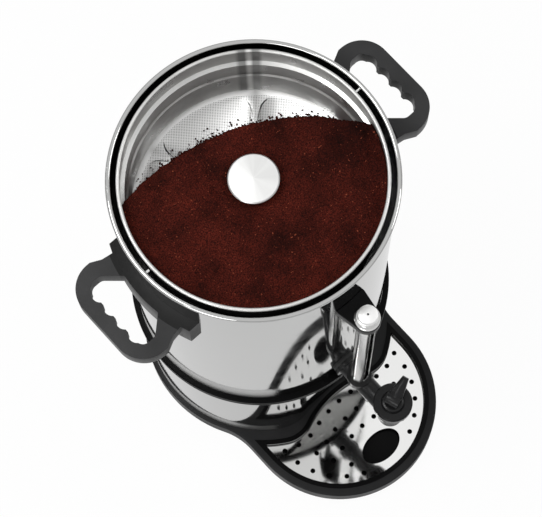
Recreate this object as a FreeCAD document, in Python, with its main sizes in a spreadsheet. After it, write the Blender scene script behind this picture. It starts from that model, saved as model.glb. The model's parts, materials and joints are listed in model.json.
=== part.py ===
import FreeCAD, Part
import math
import os
import re

import Sketcher
from FreeCAD import Placement, Rotation, Vector

# Coffee urn with a front tap, in millimetres
# Origin on the urn's axis at floor level, +Z up, the tap towards -Y, the handles at -X and +X

doc = FreeCAD.newDocument("CoffeeUrn")
sheet = doc.addObject("Spreadsheet::Sheet", "Sizes")

# Driving dimensions: alias, value in millimetres or degrees, meaning
SIZES = (
    ("platform_height", 23.7, "floor to the top of the base moulding"),
    ("platform_stand", 5.0, "base moulding past the pedestal"),
    ("platform_wall", 3.0, "wall of the base moulding"),
    ("tongue_radius", 104.0, "half width and front radius of the tongue under the tray"),
    ("tongue_back", 0.6, "outside of the body back to the centre of the tongue's front arc"),
    ("tongue_blend", 70.0, "hollow radius between the round base and the tongue"),
    ("edge_round", 1.6, "rounding along the moulding's edges"),
    ("foot_radius", 11.0, "rubber foot radius"),
    ("foot_height", 5.0, "rubber foot height"),
    ("foot_inset", 24.8, "base moulding's edge to the middle of each foot"),
    ("tongue_foot_x", 52.0, "front feet, each side of the middle"),
    ("tongue_foot_ahead", 48.8, "front feet, forward of the tongue's centre"),
    ("foot_show", 1.5, "how far the feet stand below the bottom plate"),
    ("bottom_wall", 1.2, "bottom plate thickness"),
    ("body_radius", 123.8, "outer radius of the vessel and of the pedestal"),
    ("sheet_wall", 1.0, "stainless sheet thickness"),
    ("housing_height", 160.8, "height of the pedestal housing"),
    ("niche_depth", 15.8, "depth of the hollow front of the pedestal"),
    ("niche_sweep", 260.0, "radius of the hollow front"),
    ("niche_corner", 45.0, "rounded corners beside the hollow front"),
    ("deck_wall", 1.5, "steel deck on the pedestal"),
    ("deck_bore", 62.0, "radius of the opening in the deck"),
    ("band_flange", 1.1, "inner flange of the band, between deck and vessel"),
    ("band_stand", 6.0, "black band past the body"),
    ("band_drop", 2.1, "band below the deck"),
    ("band_rise", 5.9, "band above the vessel's foot"),
    ("band_groove", 1.3, "depth and half width of the groove round the band"),
    ("vessel_height", 329.4, "vessel, from its foot to the rim"),
    ("rim_stand", 3.2, "rolled rim past the body"),
    ("bead_radius", 2.25, "radius of the roll at the rim"),
    ("floor_rise", 12.0, "vessel foot to the floor inside"),
    ("floor_wall", 1.2, "vessel floor thickness"),
    ("well_radius", 30.0, "pump well radius"),
    ("well_depth", 5.0, "pump well depth"),
    ("pin_radius", 1.6, "lid pin radius"),
    ("pin_drop", 7.5, "rim to the lid pins"),
    ("pin_reach", 4.0, "lid pins, from the vessel's inside inwards"),
    ("heater_radius", 28.0, "heat plate radius"),
    ("heater_wall", 3.0, "heat plate thickness"),
    ("element_radius", 40.0, "ring heater, middle radius"),
    ("element_rod", 3.4, "ring heater, rod radius"),
    ("basket_gap", 10.8, "outside of the body to the filter basket's wall"),
    ("basket_depth", 82.5, "rim of the basket to its floor"),
    ("basket_wall", 0.8, "filter basket sheet"),
    ("basket_bead", 1.7, "radius of the roll round the basket"),
    ("bead_gap", 7.7, "outside of the body to the middle of that roll"),
    ("basket_step", 24.0, "basket rim to the first step in its wall"),
    ("basket_step_in", 1.6, "how much each step draws the wall in"),
    ("sleeve_height", 70.0, "centre sleeve above the basket floor"),
    ("grounds_height", 70.5, "coffee at its highest, above the basket floor"),
    ("grounds_gap", 0.5, "coffee to the basket's walls"),
    ("grounds_toe", 216.3, "radius of the heap's steep side at its foot"),
    ("grounds_slope", 78.0, "slope of that side in degrees"),
    ("grounds_x", -59.2, "middle of that side's circle, across"),
    ("grounds_y", -137.6, "middle of that side's circle, front to back"),
    ("scree_height", 30.0, "height of the loose coffee at its foot"),
    ("scree_toe", 210.5, "radius of the loose coffee's edge on the floor"),
    ("scree_slope", 36.0, "slope of the loose coffee in degrees"),
    ("scree_x", -48.4, "middle of that edge's circle, across"),
    ("scree_y", -126.4, "middle of that edge's circle, front to back"),
    ("riser_radius", 7.0, "riser tube outer radius"),
    ("riser_wall", 0.9, "riser tube wall"),
    ("riser_gap", 0.6, "clearance between riser tube and sleeve"),
    ("collar_radius", 12.0, "collar that carries the basket"),
    ("collar_height", 4.0, "height of that collar"),
    ("pump_radius", 26.0, "pump foot radius"),
    ("pump_height", 9.0, "pump foot height"),
    ("disc_radius", 22.5, "round cap on top of the riser"),
    ("disc_drop", 1.0, "rim of the vessel to the top of that cap"),
    ("disc_crown", 1.2, "how much that cap rises to its middle"),
    ("disc_skirt", 4.0, "rim height of that cap"),
    ("cap_gap", 0.3, "clearance of that cap round the basket's sleeve"),
    ("riser_short", 14.0, "top of the basket's sleeve down to the top of the riser tube"),
    ("handle_drop", 53.0, "rim to the top of the handles"),
    ("handle_wall", 17.0, "thickness of the grip"),
    ("handle_stand", 54.2, "outside of the body to the outside of the grip"),
    ("handle_half", 51.5, "half length of the grip"),
    ("grip_flare", 13.0, "handle pad outwards to the grip's full length"),
    ("hole_flare", 14.0, "handle pad outwards to the hand hole's full length"),
    ("corner_run", 3.5, "straight run between that flare and the grip's rounded corner"),
    ("grip_bar", 12.0, "bar of the grip, across"),
    ("hand_half", 36.5, "half length of the hand hole at the bar"),
    ("hand_half_in", 21.0, "half length of the hand hole at the pad"),
    ("finger_radius", 8.3, "finger hollows"),
    ("finger_pitch", 16.2, "spacing of the finger hollows"),
    ("finger_depth", 3.2, "how far the finger hollows cut into the bar"),
    ("pad_wall", 10.2, "handle pad, outwards from the vessel"),
    ("pad_height", 37.0, "handle pad height"),
    ("pad_half", 53.0, "half width of the handle pad"),
    ("handle_screw", 2.4, "handle screw radius"),
    ("handle_screw_turn", 14.0, "handle screws, angle each side of the middle"),
    ("gauge_reach", 22.2, "vessel wall to the gauge's axis"),
    ("gauge_radius", 9.0, "gauge shield outer radius"),
    ("gauge_wall", 1.0, "gauge shield wall"),
    ("gauge_slot", 6.4, "width of the slot in the shield"),
    ("glass_radius", 6.0, "sight glass outer radius"),
    ("glass_wall", 1.4, "sight glass wall"),
    ("gauge_top_drop", 64.0, "rim to the top of the shield"),
    ("gauge_boss", 12.0, "radius of the bosses round the gauge"),
    ("gauge_bracket", 11.0, "height of the top bracket"),
    ("bracket_half", 15.5, "half width of the top bracket at the vessel"),
    ("gauge_cap_radius", 8.8, "gauge cap radius"),
    ("gauge_cap_height", 8.0, "gauge cap height"),
    ("gauge_nut_radius", 11.6, "radius of the chrome collar under the cap, at its foot"),
    ("gauge_nut_height", 8.0, "height of that collar"),
    ("gauge_nut_taper", 1.4, "how much that collar draws in towards the cap"),
    ("vent_radius", 1.0, "vent in the gauge cap"),
    ("tap_rise", 26.0, "vessel foot to the tap's axis"),
    ("tap_arm", 10.0, "tap arm radius"),
    ("tap_reach", 67.8, "vessel wall to the tap's upright axis"),
    ("tap_bore", 4.5, "bore of the tap"),
    ("seat_drop", 5.4, "tap axis to the valve's seat"),
    ("chamber_radius", 8.5, "valve chamber radius"),
    ("tap_body", 12.2, "radius of the upright part of the tap"),
    ("tap_drop", 14.0, "tap axis to the bottom of that part"),
    ("tap_lift", 30.0, "tap axis to the top of that part"),
    ("spout_radius", 8.0, "spout radius"),
    ("spout_drop", 24.0, "tap axis to the mouth of the spout"),
    ("bonnet_radius", 19.0, "radius of the bonnet"),
    ("bonnet_height", 15.0, "height of the bonnet"),
    ("dome_radius", 11.5, "radius of the dome on the bonnet"),
    ("dome_height", 4.0, "height of the dome"),
    ("stem_radius", 3.0, "valve stem radius"),
    ("stem_gap", 0.06, "running clearance of the stem and of the hinge pins"),
    ("cup_gap", 0.5, "seat cup to the chamber wall, and to the spring when it is fully up"),
    ("cup_height", 5.0, "seat cup height"),
    ("hinge_pin", 1.5, "radius of the lever's hinge pin"),
    ("hub_radius", 6.3, "hub of the lever"),
    ("hub_pocket", 4.4, "round pocket in the hub for the stem's head"),
    ("fork_gap", 0.35, "stem to the lever's cheeks"),
    ("valve_stroke", 4.0, "lift of the seat cup"),
    ("lever_turn", 17.5, "the way the lever points, from +X towards +Y"),
    ("lever_rise", 6.6, "dome to the lever's hinge"),
    ("lever_length", 25.0, "hinge to the tip of the lever"),
    ("lever_width", 13.0, "lever width at its root"),
    ("lever_tip", 6.4, "lever width at its tip"),
    ("lever_wall", 6.0, "lever thickness"),
    ("lever_slope", 21.0, "upward slope of the lever"),
    ("shank_radius", 8.0, "threaded shank of the tap"),
    ("shank_inside", 13.0, "shank inside the vessel"),
    ("seal_wall", 2.0, "washer thickness"),
    ("seal_radius", 12.5, "washer radius"),
    ("nut_half", 12.0, "half width of the hexagon nut"),
    ("nut_height", 6.0, "hexagon nut thickness"),
    ("plate_radius", 91.3, "half width and front radius of the drip plate"),
    ("plate_back", 1.8, "outside of the body back to the centre of the plate's front arc"),
    ("plate_wall", 1.0, "drip plate thickness"),
    ("plate_drop", 6.4, "platform top to the plate"),
    ("plate_gap", 7.5, "hollow front of the pedestal to the plate"),
    ("plate_side", 17.0, "round of the pedestal to the plate's rear corners"),
    ("plate_corner", 36.0, "rear waves of the plate"),
    ("plate_hollow", 114.0, "hollow radius at the middle of the plate's rear edge"),
    ("hole_radius", 2.65, "drain hole radius"),
    ("hole_pitch", 16.1, "spacing of the drain holes along a row"),
    ("row_start", 7.3, "plate's rear edge to the first row, in the middle"),
    ("row_pitch", 18.4, "spacing of the rows"),
    ("row_follow", 0.75, "how closely the rows follow the rear edge"),
    ("edge_ring", 80.0, "radius of the ring of holes along the edge"),
    ("edge_lead", 3.8, "middle of that ring, forward of the middle of the front arc"),
    ("edge_turn", 13.3, "angle between the holes along the edge"),
    ("edge_start", -1.2, "angle of the first of those holes"),
    ("finger_oval", 23.5, "half width of the oval finger hole"),
    ("finger_oval_y", 15.0, "half depth of the oval finger hole"),
    ("finger_oval_reach", 67.2, "centre of the plate's arc to the oval hole"),
    ("tray_gap", 0.5, "clearance round the plate and round the tray"),
    ("tray_wall", 1.8, "tray wall"),
    ("tray_ledge", 4.0, "ledge that carries the plate"),
    ("tray_depth", 17.0, "platform top to the underside of the tray"),
    ("tray_lip", 3.2, "lip of the tray, past its wall"),
    ("lip_wall", 1.2, "thickness of that lip"),
    ("well_wall", 2.0, "wall of the base moulding round the tray"),
    ("rocker_half_y", 8.0, "half width of the rocker"),
    ("rocker_half_z", 11.6, "half height of the rocker"),
    ("rocker_pin", 1.2, "radius of the rocker's pivots"),
    ("pivot_in", 1.0, "pedestal surface inwards to the rocker's pivots"),
    ("switch_rise", 50.0, "platform to the middle of the rocker switch"),
    ("switch_half_y", 11.0, "half width of the switch opening"),
    ("switch_half_z", 15.0, "half height of the switch opening"),
    ("switch_depth", 17.0, "depth of the switch body"),
    ("bezel_edge", 3.5, "bezel past the opening"),
    ("bezel_wall", 3.0, "bezel thickness"),
    ("rocker_gap", 0.7, "clearance round the rocker"),
    ("rocker_stand", 3.0, "how far the rocker stands out"),
    ("lamp_radius", 4.0, "indicator lamp radius"),
    ("lamp_rise", 82.0, "platform to the indicator lamps"),
    ("lamp_half", 9.0, "lamps, each side of the middle"),
    ("inlet_rise", 40.0, "platform to the middle of the power inlet"),
    ("inlet_half_x", 14.0, "half width of the power inlet"),
    ("inlet_half_z", 10.5, "half height of the power inlet"),
    ("inlet_depth", 22.0, "depth of the power inlet"),
    ("thermostat_radius", 9.0, "thermostat radius"),
    ("thermostat_height", 5.0, "thermostat height"),
    ("thermostat_reach", 14.0, "axis to the thermostats"),
    ("terminal_pitch", 12.0, "spacing of the terminal posts"),
    ("terminal_height", 14.0, "height of the terminal block"),
    ("terminal_reach", 70.0, "axis to the terminal block"),
    ("rivet_head", 1.2, "thickness of the rivets' heads, and how far they stand past the shaft"),
    ("rivet_sink", 0.6, "how far a lid pin's shaft reaches into its head"),
    ("screw_grip", 4.8, "how far a handle screw reaches into the pad"),
    ("screw_cap", 3.6, "height of a handle screw's head, with its play"),
    ("seal_height", 4.0, "height of the seals round the sight glass"),
    ("step_height", 22.5, "height of the second step in the basket's wall"),
    ("step_slope", 1.5, "height of each step's slope"),
    ("inlet_flange", 2.5, "flange of the power inlet, thickness and edge"),
    ("inlet_ear", 11.0, "flange of the power inlet past its case, where its screws go"),
    ("inlet_pitch", 7.0, "spacing of the inlet's pins"),
    ("tab_pitch", 6.0, "spacing of the switch's terminals"),
    ("tab_reach", 5.0, "length of each switch terminal"),
    ("tab_thick", 0.4, "thickness of each switch terminal"),
    ("tab_height", 6.3, "height of each switch terminal"),
    ("strip_thick", 0.5, "thickness of the strip that carries the terminals"),
    ("strip_height", 7.0, "height of the strip that carries the terminals"),
)

for row, (alias, value, meaning) in enumerate(SIZES, start=1):
    sheet.set(f"A{row}", alias)
    sheet.set(f"B{row}", str(value))
    sheet.set(f"C{row}", meaning)
    sheet.setAlias(f"B{row}", alias)
doc.recompute()

ALIASES = {alias for alias, _, _ in SIZES}

# Levels, as formulas of the driving dimensions
PLATFORM = "platform_height"
HOUSING_TOP = "platform_height + housing_height"
DECK_TOP = f"{HOUSING_TOP} + deck_wall"
VESSEL_FOOT = f"{DECK_TOP} + band_flange"
RIM = f"{VESSEL_FOOT} + vessel_height"
FLOOR = f"{VESSEL_FOOT} + floor_rise"
WELL_FLOOR = f"{FLOOR} - well_depth"
WELL_UNDER = f"{WELL_FLOOR} - floor_wall"
INSIDE = "body_radius - sheet_wall"
PLATFORM_R = "body_radius + platform_stand"
FOOT_CIRCLE = f"({PLATFORM_R} - foot_inset)"
BAND_R = "body_radius + band_stand"
RIM_R = "body_radius + rim_stand"
BASKET_R = "body_radius - basket_gap"
ROLL_R = "body_radius - bead_gap"
HANDLE_OUT = "body_radius + handle_stand"
TONGUE_Y = "-(body_radius - tongue_back)"
PLATE_Y = "-(body_radius - plate_back)"
BASKET_TOP = RIM
BASKET_FLOOR = f"{BASKET_TOP} - basket_depth"
BASKET_UNDER = f"{BASKET_FLOOR} - basket_wall"
DISC_TOP = f"{RIM} - disc_drop"
GAUGE_Y = "-(body_radius + gauge_reach)"
GAUGE_TOP = f"{RIM} - gauge_top_drop"
TAP_Y = "-(body_radius + tap_reach)"
TAP_Z = f"{VESSEL_FOOT} + tap_rise"
BONNET_BASE = f"{TAP_Z} + tap_lift"
BONNET_TOP = f"{BONNET_BASE} + bonnet_height"
DOME_TOP = f"{BONNET_TOP} + dome_height"
HINGE_Z = f"{DOME_TOP} + lever_rise"
SEAT_Z = f"{TAP_Z} - seat_drop"
HANDLE_TOP = f"{RIM} - handle_drop"
PLATE_TOP = "platform_height - plate_drop"
PLATE_UNDER = f"{PLATE_TOP} - plate_wall"
TRAY_UNDER = "platform_height - tray_depth"
NICHE_Y = "-(body_radius - niche_depth + niche_sweep)"
HOLLOW_Y = "-(body_radius - niche_depth + plate_gap + plate_hollow)"
SWITCH_Z = "platform_height + switch_rise"
LAMP_Z = "platform_height + lamp_rise"
INLET_Z = "platform_height + inlet_rise"


def sized(formula):
    """A formula with each size's name pointed at the sheet."""
    def point(match):
        word = match.group(0)
        return f"Sizes.{word}" if word in ALIASES else word
    return re.sub(r"[a-z][a-z_]*[a-z]", point, str(formula))


def number(formula):
    """The value of a formula now."""
    value = sheet.evalExpression(sized(formula))
    return float(getattr(value, "Value", value))


def bind(thing, prop, formula):
    thing.setExpression(prop, sized(formula))
    return thing


def bind_place(thing, x=0, y=0, z=0):
    for axis, formula in zip("xyz", (x, y, z)):
        bind(thing, f"Placement.Base.{axis}", formula)
    return thing


# The ways that a cylinder or a hole can run
ALONG = {
    "z": Rotation(),
    "x": Rotation(Vector(0, 1, 0), 90),
    "y": Rotation(Vector(1, 0, 0), -90),
}


def rod(name, radius, length, x=0, y=0, z=0, along="z"):
    """A cylinder from a point along an axis."""
    thing = doc.addObject("Part::Cylinder", name)
    thing.Placement = Placement(Vector(), ALONG[along])
    bind(thing, "Radius", radius)
    bind(thing, "Height", length)
    return bind_place(thing, x, y, z)


def block(name, half_x, half_y, height, x=0, y=0, z=0):
    """A box centred on a point in plan, standing on it."""
    thing = doc.addObject("Part::Box", name)
    bind(thing, "Length", f"2 * ({half_x})")
    bind(thing, "Width", f"2 * ({half_y})")
    bind(thing, "Height", height)
    return bind_place(thing, f"{x} - ({half_x})", f"{y} - ({half_y})", z)


def hexagon(name, half_width, height, x=0, y=0, z=0, along="z"):
    thing = doc.addObject("Part::Prism", name)
    thing.Polygon = 6
    thing.Placement = Placement(Vector(), ALONG[along])
    bind(thing, "Circumradius", f"({half_width}) / cos(30)")
    bind(thing, "Height", height)
    return bind_place(thing, x, y, z)


def joined(name, *things):
    thing = doc.addObject("Part::MultiFuse", name)
    thing.Shapes = list(things)
    thing.Refine = True
    return thing


def without(name, base, *tools):
    """The base with each tool cut out of it."""
    thing = doc.addObject("Part::Cut", name)
    thing.Base = base
    thing.Tool = tools[0] if len(tools) == 1 else joined(f"{name}_tools", *tools)
    thing.Refine = True
    return thing


def shared(name, first, second):
    thing = doc.addObject("Part::Common", name)
    thing.Base = first
    thing.Tool = second
    thing.Refine = True
    return thing


def origin_plane(body, role):
    return next(part for part in body.Origin.OriginFeatures if part.Role == role)


def new_sketch(body, name, role="XZ_Plane", level=0):
    """A sketch on one of the body's own origin planes, raised by a level."""
    sketch = body.newObject("Sketcher::SketchObject", name)
    sketch.AttachmentSupport = [(origin_plane(body, role), "")]
    sketch.MapMode = "FlatFace"
    if level:
        bind(sketch, "AttachmentOffset.Base.z", level)
    return sketch


def hold(sketch, kind, where, formula):
    """One driving constraint, bound to a formula."""
    index = sketch.addConstraint(Sketcher.Constraint(kind, *where, number(formula)))
    bind(sketch, f"Constraints[{index}]", formula)


ORIGIN = (-1, 1)
START, END, CENTRE = range(1, 4)


def polygon(sketch, corners):
    """A closed outline of straight lines, each corner held by its two distances."""
    spots = [Vector(number(u), number(v), 0) for u, v in corners]
    count = len(spots)
    first = sketch.GeometryCount
    lines = [Part.LineSegment(spots[i], spots[(i + 1) % count]) for i in range(count)]
    sketch.addGeometry(lines, False)
    sketch.addConstraint([
        Sketcher.Constraint("Coincident", first + i, END, first + (i + 1) % count, START)
        for i in range(count)
    ])
    for i, (u, v) in enumerate(corners):
        hold(sketch, "DistanceX", (*ORIGIN, first + i, START), u)
        hold(sketch, "DistanceY", (*ORIGIN, first + i, START), v)


def circle(sketch, u, v, radius):
    spot = Vector(number(u), number(v), 0)
    index = sketch.addGeometry(Part.Circle(spot, Vector(0, 0, 1), number(radius)), False)
    hold(sketch, "Radius", (index,), radius)
    hold(sketch, "DistanceX", (*ORIGIN, index, CENTRE), u)
    hold(sketch, "DistanceY", (*ORIGIN, index, CENTRE), v)


def new_body(name):
    return doc.addObject("PartDesign::Body", name)


def feature(body, kind, name, sketch):
    thing = body.newObject(f"PartDesign::{kind}", name)
    thing.Profile = sketch
    return thing


def turned(name, corners, bead=None):
    """A solid turned about the Z axis from a profile of radius and height."""
    body = new_body(name)
    profile = new_sketch(body, f"{name}_profile")
    polygon(profile, corners)
    turn = feature(body, "Revolution", f"{name}_turn", profile)
    turn.ReferenceAxis = (profile, ["V_Axis"])
    turn.Angle = 360
    if bead:
        roll = new_sketch(body, f"{name}_roll")
        circle(roll, *bead)
        ring = feature(body, "Revolution", f"{name}_bead", roll)
        ring.ReferenceAxis = (roll, ["V_Axis"])
        ring.Angle = 360
    return body


def raised(name, body, sketch, height):
    pad = feature(body, "Pad", name, sketch)
    bind(pad, "Length", height)
    return pad


def rounded(body, name, formula, pick):
    """Fillets on the edges of the body's last feature that a test picks."""
    doc.recompute()
    base = body.Tip
    names = [f"Edge{i}" for i, edge in enumerate(base.Shape.Edges, start=1) if pick(edge)]
    fillet = body.newObject("PartDesign::Fillet", name)
    fillet.Base = (base, names)
    bind(fillet, "Radius", formula)
    return fillet


def turned_about_axis(name, thing, angle, y=0):
    """The piece turned by an angle about the upright line through (0, y)."""
    holder = doc.addObject("Part::Compound", name)
    holder.Links = [thing]
    bind(holder, "Placement.Rotation.Angle", angle)
    holder.Placement.Rotation.Axis = Vector(0, 0, 1)
    return bind_place(holder, f"({y}) * sin({angle})", f"({y}) * (1 - cos({angle}))", 0)


# Plan outlines that several pieces share
def niche_outline(sketch, big, corner, sweep, centre_y):
    """A round with a hollow front: big arc, two rounded corners and the hollow arc."""
    r_big, r_corner, r_sweep, y_sweep = (number(f) for f in (big, corner, sweep, centre_y))
    reach = r_big - r_corner
    span = r_sweep + r_corner
    corner_y = (span ** 2 - reach ** 2 - y_sweep ** 2) / (-2 * y_sweep)
    corner_x = math.sqrt(reach ** 2 - corner_y ** 2)
    outer = math.atan2(corner_y, corner_x)
    inner = math.atan2(corner_y - y_sweep, corner_x)
    up = Vector(0, 0, 1)

    def arc(x, y, radius, start, end):
        return Part.ArcOfCircle(Part.Circle(Vector(x, y, 0), up, radius), start, end)

    turn = 2 * math.pi
    first = sketch.GeometryCount
    sketch.addGeometry([
        arc(0, 0, r_big, outer, math.pi - outer),
        arc(-corner_x, corner_y, r_corner, math.pi - outer, turn - inner),
        arc(0, y_sweep, r_sweep, inner, math.pi - inner),
        arc(corner_x, corner_y, r_corner, math.pi + inner, turn + outer),
    ], False)
    round_arc, left, hollow, right = range(first, first + 4)
    sketch.addConstraint([
        Sketcher.Constraint("Tangent", round_arc, END, left, START),
        Sketcher.Constraint("Tangent", left, END, hollow, END),
        Sketcher.Constraint("Tangent", hollow, START, right, START),
        Sketcher.Constraint("Tangent", right, END, round_arc, START),
        Sketcher.Constraint("Coincident", round_arc, CENTRE, *ORIGIN),
    ])
    hold(sketch, "Radius", (round_arc,), big)
    hold(sketch, "Radius", (left,), corner)
    hold(sketch, "Radius", (right,), corner)
    hold(sketch, "Radius", (hollow,), sweep)
    hold(sketch, "DistanceX", (*ORIGIN, hollow, CENTRE), "0")
    hold(sketch, "DistanceY", (*ORIGIN, hollow, CENTRE), centre_y)


def niche_solid(name, big, corner, sweep, centre_y, level, height):
    body = new_body(name)
    sketch = new_sketch(body, f"{name}_plan", "XY_Plane", level)
    niche_outline(sketch, big, corner, sweep, centre_y)
    raised(f"{name}_pad", body, sketch, height)
    return body


def stadium_solid(name, radius, middle, back, level, height):
    """A tongue in plan: straight sides and a round front, up to a straight back."""
    body = new_body(name)
    sketch = new_sketch(body, f"{name}_plan", "XY_Plane", level)
    r, y, top = number(radius), number(middle), number(back)
    first = sketch.GeometryCount
    ring = Part.Circle(Vector(0, y, 0), Vector(0, 0, 1), r)
    sketch.addGeometry([
        Part.ArcOfCircle(ring, math.pi, 2 * math.pi),
        Part.LineSegment(Vector(r, y, 0), Vector(r, top, 0)),
        Part.LineSegment(Vector(r, top, 0), Vector(-r, top, 0)),
        Part.LineSegment(Vector(-r, top, 0), Vector(-r, y, 0)),
    ], False)
    front, right, rear, left = range(first, first + 4)
    sketch.addConstraint([
        Sketcher.Constraint("Tangent", front, END, right, START),
        Sketcher.Constraint("Coincident", right, END, rear, START),
        Sketcher.Constraint("Coincident", rear, END, left, START),
        Sketcher.Constraint("Tangent", left, END, front, START),
        Sketcher.Constraint("Vertical", right),
        Sketcher.Constraint("Vertical", left),
        Sketcher.Constraint("Horizontal", rear),
    ])
    hold(sketch, "Radius", (front,), radius)
    hold(sketch, "DistanceX", (*ORIGIN, front, CENTRE), "0")
    hold(sketch, "DistanceY", (*ORIGIN, front, CENTRE), middle)
    hold(sketch, "DistanceY", (*ORIGIN, rear, START), back)
    raised(f"{name}_pad", body, sketch, height)
    return body


def tray_solid(name, grow, level, height):
    """The drip plate's outline, grown by a margin, as a solid."""
    body = stadium_solid(f"{name}_front", f"plate_radius + {grow}", PLATE_Y, "-60", level, height)
    wave = niche_solid(
        f"{name}_wave",
        f"body_radius + plate_side - ({grow})",
        f"plate_corner - ({grow})",
        f"plate_hollow + {grow}",
        HOLLOW_Y, f"{level} - 1", f"{height} + 2",
    )
    return without(name, body, wave)


PARTS = {}


def keep(node, thing):
    """Names a finished sub-part and lists it for export."""
    thing.Label = node
    PARTS[node] = thing
    return thing


def platform_solid(name, inset, level, height):
    """The round base and its tongue, drawn in by an inset, as a solid."""
    ring = f"{PLATFORM_R} - ({inset})"
    tongue = f"tongue_radius - {inset}"
    blend = f"tongue_blend + {inset}"
    body = new_body(name)
    sketch = new_sketch(body, f"{name}_plan", "XY_Plane", level)
    r, w, b, y = number(ring), number(tongue), number(blend), number(TONGUE_Y)
    blend_x = w + b
    blend_y = -math.sqrt((r + b) ** 2 - blend_x ** 2)
    angle = math.atan2(blend_y, blend_x)
    up = Vector(0, 0, 1)

    def arc(x, centre_y, radius, start, end):
        return Part.ArcOfCircle(Part.Circle(Vector(x, centre_y, 0), up, radius), start, end)

    sketch.addGeometry([
        arc(0, 0, r, angle, math.pi - angle),
        arc(-blend_x, blend_y, b, 0, -angle),
        Part.LineSegment(Vector(-w, blend_y, 0), Vector(-w, y, 0)),
        arc(0, y, w, math.pi, 2 * math.pi),
        Part.LineSegment(Vector(w, y, 0), Vector(w, blend_y, 0)),
        arc(blend_x, blend_y, b, math.pi + angle, math.pi),
    ], False)
    sketch.addConstraint([
        Sketcher.Constraint("Tangent", 0, END, 1, END),
        Sketcher.Constraint("Tangent", 1, START, 2, START),
        Sketcher.Constraint("Tangent", 2, END, 3, START),
        Sketcher.Constraint("Tangent", 3, END, 4, START),
        Sketcher.Constraint("Tangent", 4, END, 5, END),
        Sketcher.Constraint("Tangent", 5, START, 0, START),
        Sketcher.Constraint("Coincident", 0, CENTRE, *ORIGIN),
        Sketcher.Constraint("Vertical", 2),
        Sketcher.Constraint("Vertical", 4),
    ])
    hold(sketch, "Radius", (0,), ring)
    hold(sketch, "Radius", (1,), blend)
    hold(sketch, "Radius", (5,), blend)
    hold(sketch, "Radius", (3,), tongue)
    hold(sketch, "DistanceX", (*ORIGIN, 3, CENTRE), "0")
    hold(sketch, "DistanceY", (*ORIGIN, 3, CENTRE), TONGUE_Y)
    raised(f"{name}_pad", body, sketch, height)
    return body


def at_level(formula):
    """Picks edges that lie flat at a height."""
    level = number(formula)

    def pick(edge):
        return all(abs(spot.z - level) < 1e-4 for spot in edge.discretize(3))
    return pick


BASE_FOOT = "foot_show"
TRAY_OUT = "tray_gap + tray_wall"
WELL_IN = "2 * tray_gap + tray_wall"
WELL_OUT = f"{WELL_IN} + well_wall"

# Base moulding: round base and tongue, hollow below, with a well for the drip tray
platform_outer = platform_solid("platform_outer", "0", BASE_FOOT, f"{PLATFORM} - {BASE_FOOT}")
rounded(platform_outer, "platform_edge", "edge_round", at_level(PLATFORM))
platform_hollow = platform_solid(
    "platform_hollow", "platform_wall", f"{BASE_FOOT} - 1", f"{PLATFORM} - {BASE_FOOT} - platform_wall + 1"
)
tray_well = tray_solid("tray_well", WELL_OUT, f"{TRAY_UNDER} - tray_gap - well_wall",
                       "tray_depth + tray_gap + well_wall - platform_wall / 2")
tray_hole = tray_solid("tray_hole", WELL_IN, f"{TRAY_UNDER} - tray_gap", "tray_depth + tray_gap + 5")
platform_shell = without("platform_shell", platform_outer, platform_hollow)
keep("base_platform", without("base_moulding", joined("platform_with_well", platform_shell, tray_well),
                              tray_hole))

# Bottom plate and rubber feet
feet = [(angle, f"{FOOT_CIRCLE} * cos({angle})", f"{FOOT_CIRCLE} * sin({angle})")
        for angle in (40, 140, 220, 320)]
bottom_disc = rod("bottom_disc", f"{PLATFORM_R} - platform_wall - tray_gap", "bottom_wall", z=BASE_FOOT)
bottom_bores = [rod(f"bottom_bore_{a}", "foot_radius - 3", "bottom_wall + 2", x, y, f"{BASE_FOOT} - 1")
                for a, x, y in feet]
keep("bottom_plate", without("bottom_sheet", bottom_disc, *bottom_bores))
for place, (angle, x, y) in zip(("rear_right", "rear_left", "front_left", "front_right"), feet):
    pad = rod(f"foot_pad_{angle}", "foot_radius", "foot_show", x, y)
    plug = rod(f"foot_plug_{angle}", "foot_radius - 3", "foot_height", x, y)
    keep(f"foot_{place}", joined(f"foot_body_{angle}", pad, plug))

WELL_BOTTOM = f"{TRAY_UNDER} - tray_gap - well_wall"
for side, place in ((-1, "tongue_left"), (1, "tongue_right")):
    keep(f"foot_{place}", rod(f"foot_{place}_disc", "foot_radius", WELL_BOTTOM, f"{side} * tongue_foot_x",
                              f"{TONGUE_Y} - tongue_foot_ahead"))

# Pedestal housing with its hollow front
housing_outer = niche_solid("housing_outer", "body_radius", "niche_corner", "niche_sweep", NICHE_Y,
                            PLATFORM, "housing_height")
housing_inner = niche_solid("housing_inner", INSIDE, "niche_corner - sheet_wall",
                            "niche_sweep + sheet_wall", NICHE_Y, f"{PLATFORM} - 1", "housing_height + 2")
WALL_CUT = "sheet_wall + 12"
switch_window = block("switch_window", WALL_CUT, "switch_half_y", "2 * switch_half_z",
                      "body_radius", 0, f"{SWITCH_Z} - switch_half_z")
inlet_window = block("inlet_window", "inlet_half_x", WALL_CUT, "2 * inlet_half_z",
                     0, "body_radius", f"{INLET_Z} - inlet_half_z")
lamp_windows = [rod(f"lamp_window_{side}", "lamp_radius", WALL_CUT, INSIDE + " - 6",
                    f"{side} * lamp_half", LAMP_Z, "x") for side in (-1, 1)]
keep("pedestal_housing", without("housing_sheet", housing_outer, housing_inner, switch_window,
                                 inlet_window, *lamp_windows))

# Deck on the pedestal, with its opening for the heater
keep("deck_plate", turned("deck_sheet", (
    ("deck_bore", HOUSING_TOP), ("body_radius - 0.1", HOUSING_TOP),
    ("body_radius - 0.1", DECK_TOP), ("deck_bore", DECK_TOP),
)))

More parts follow.
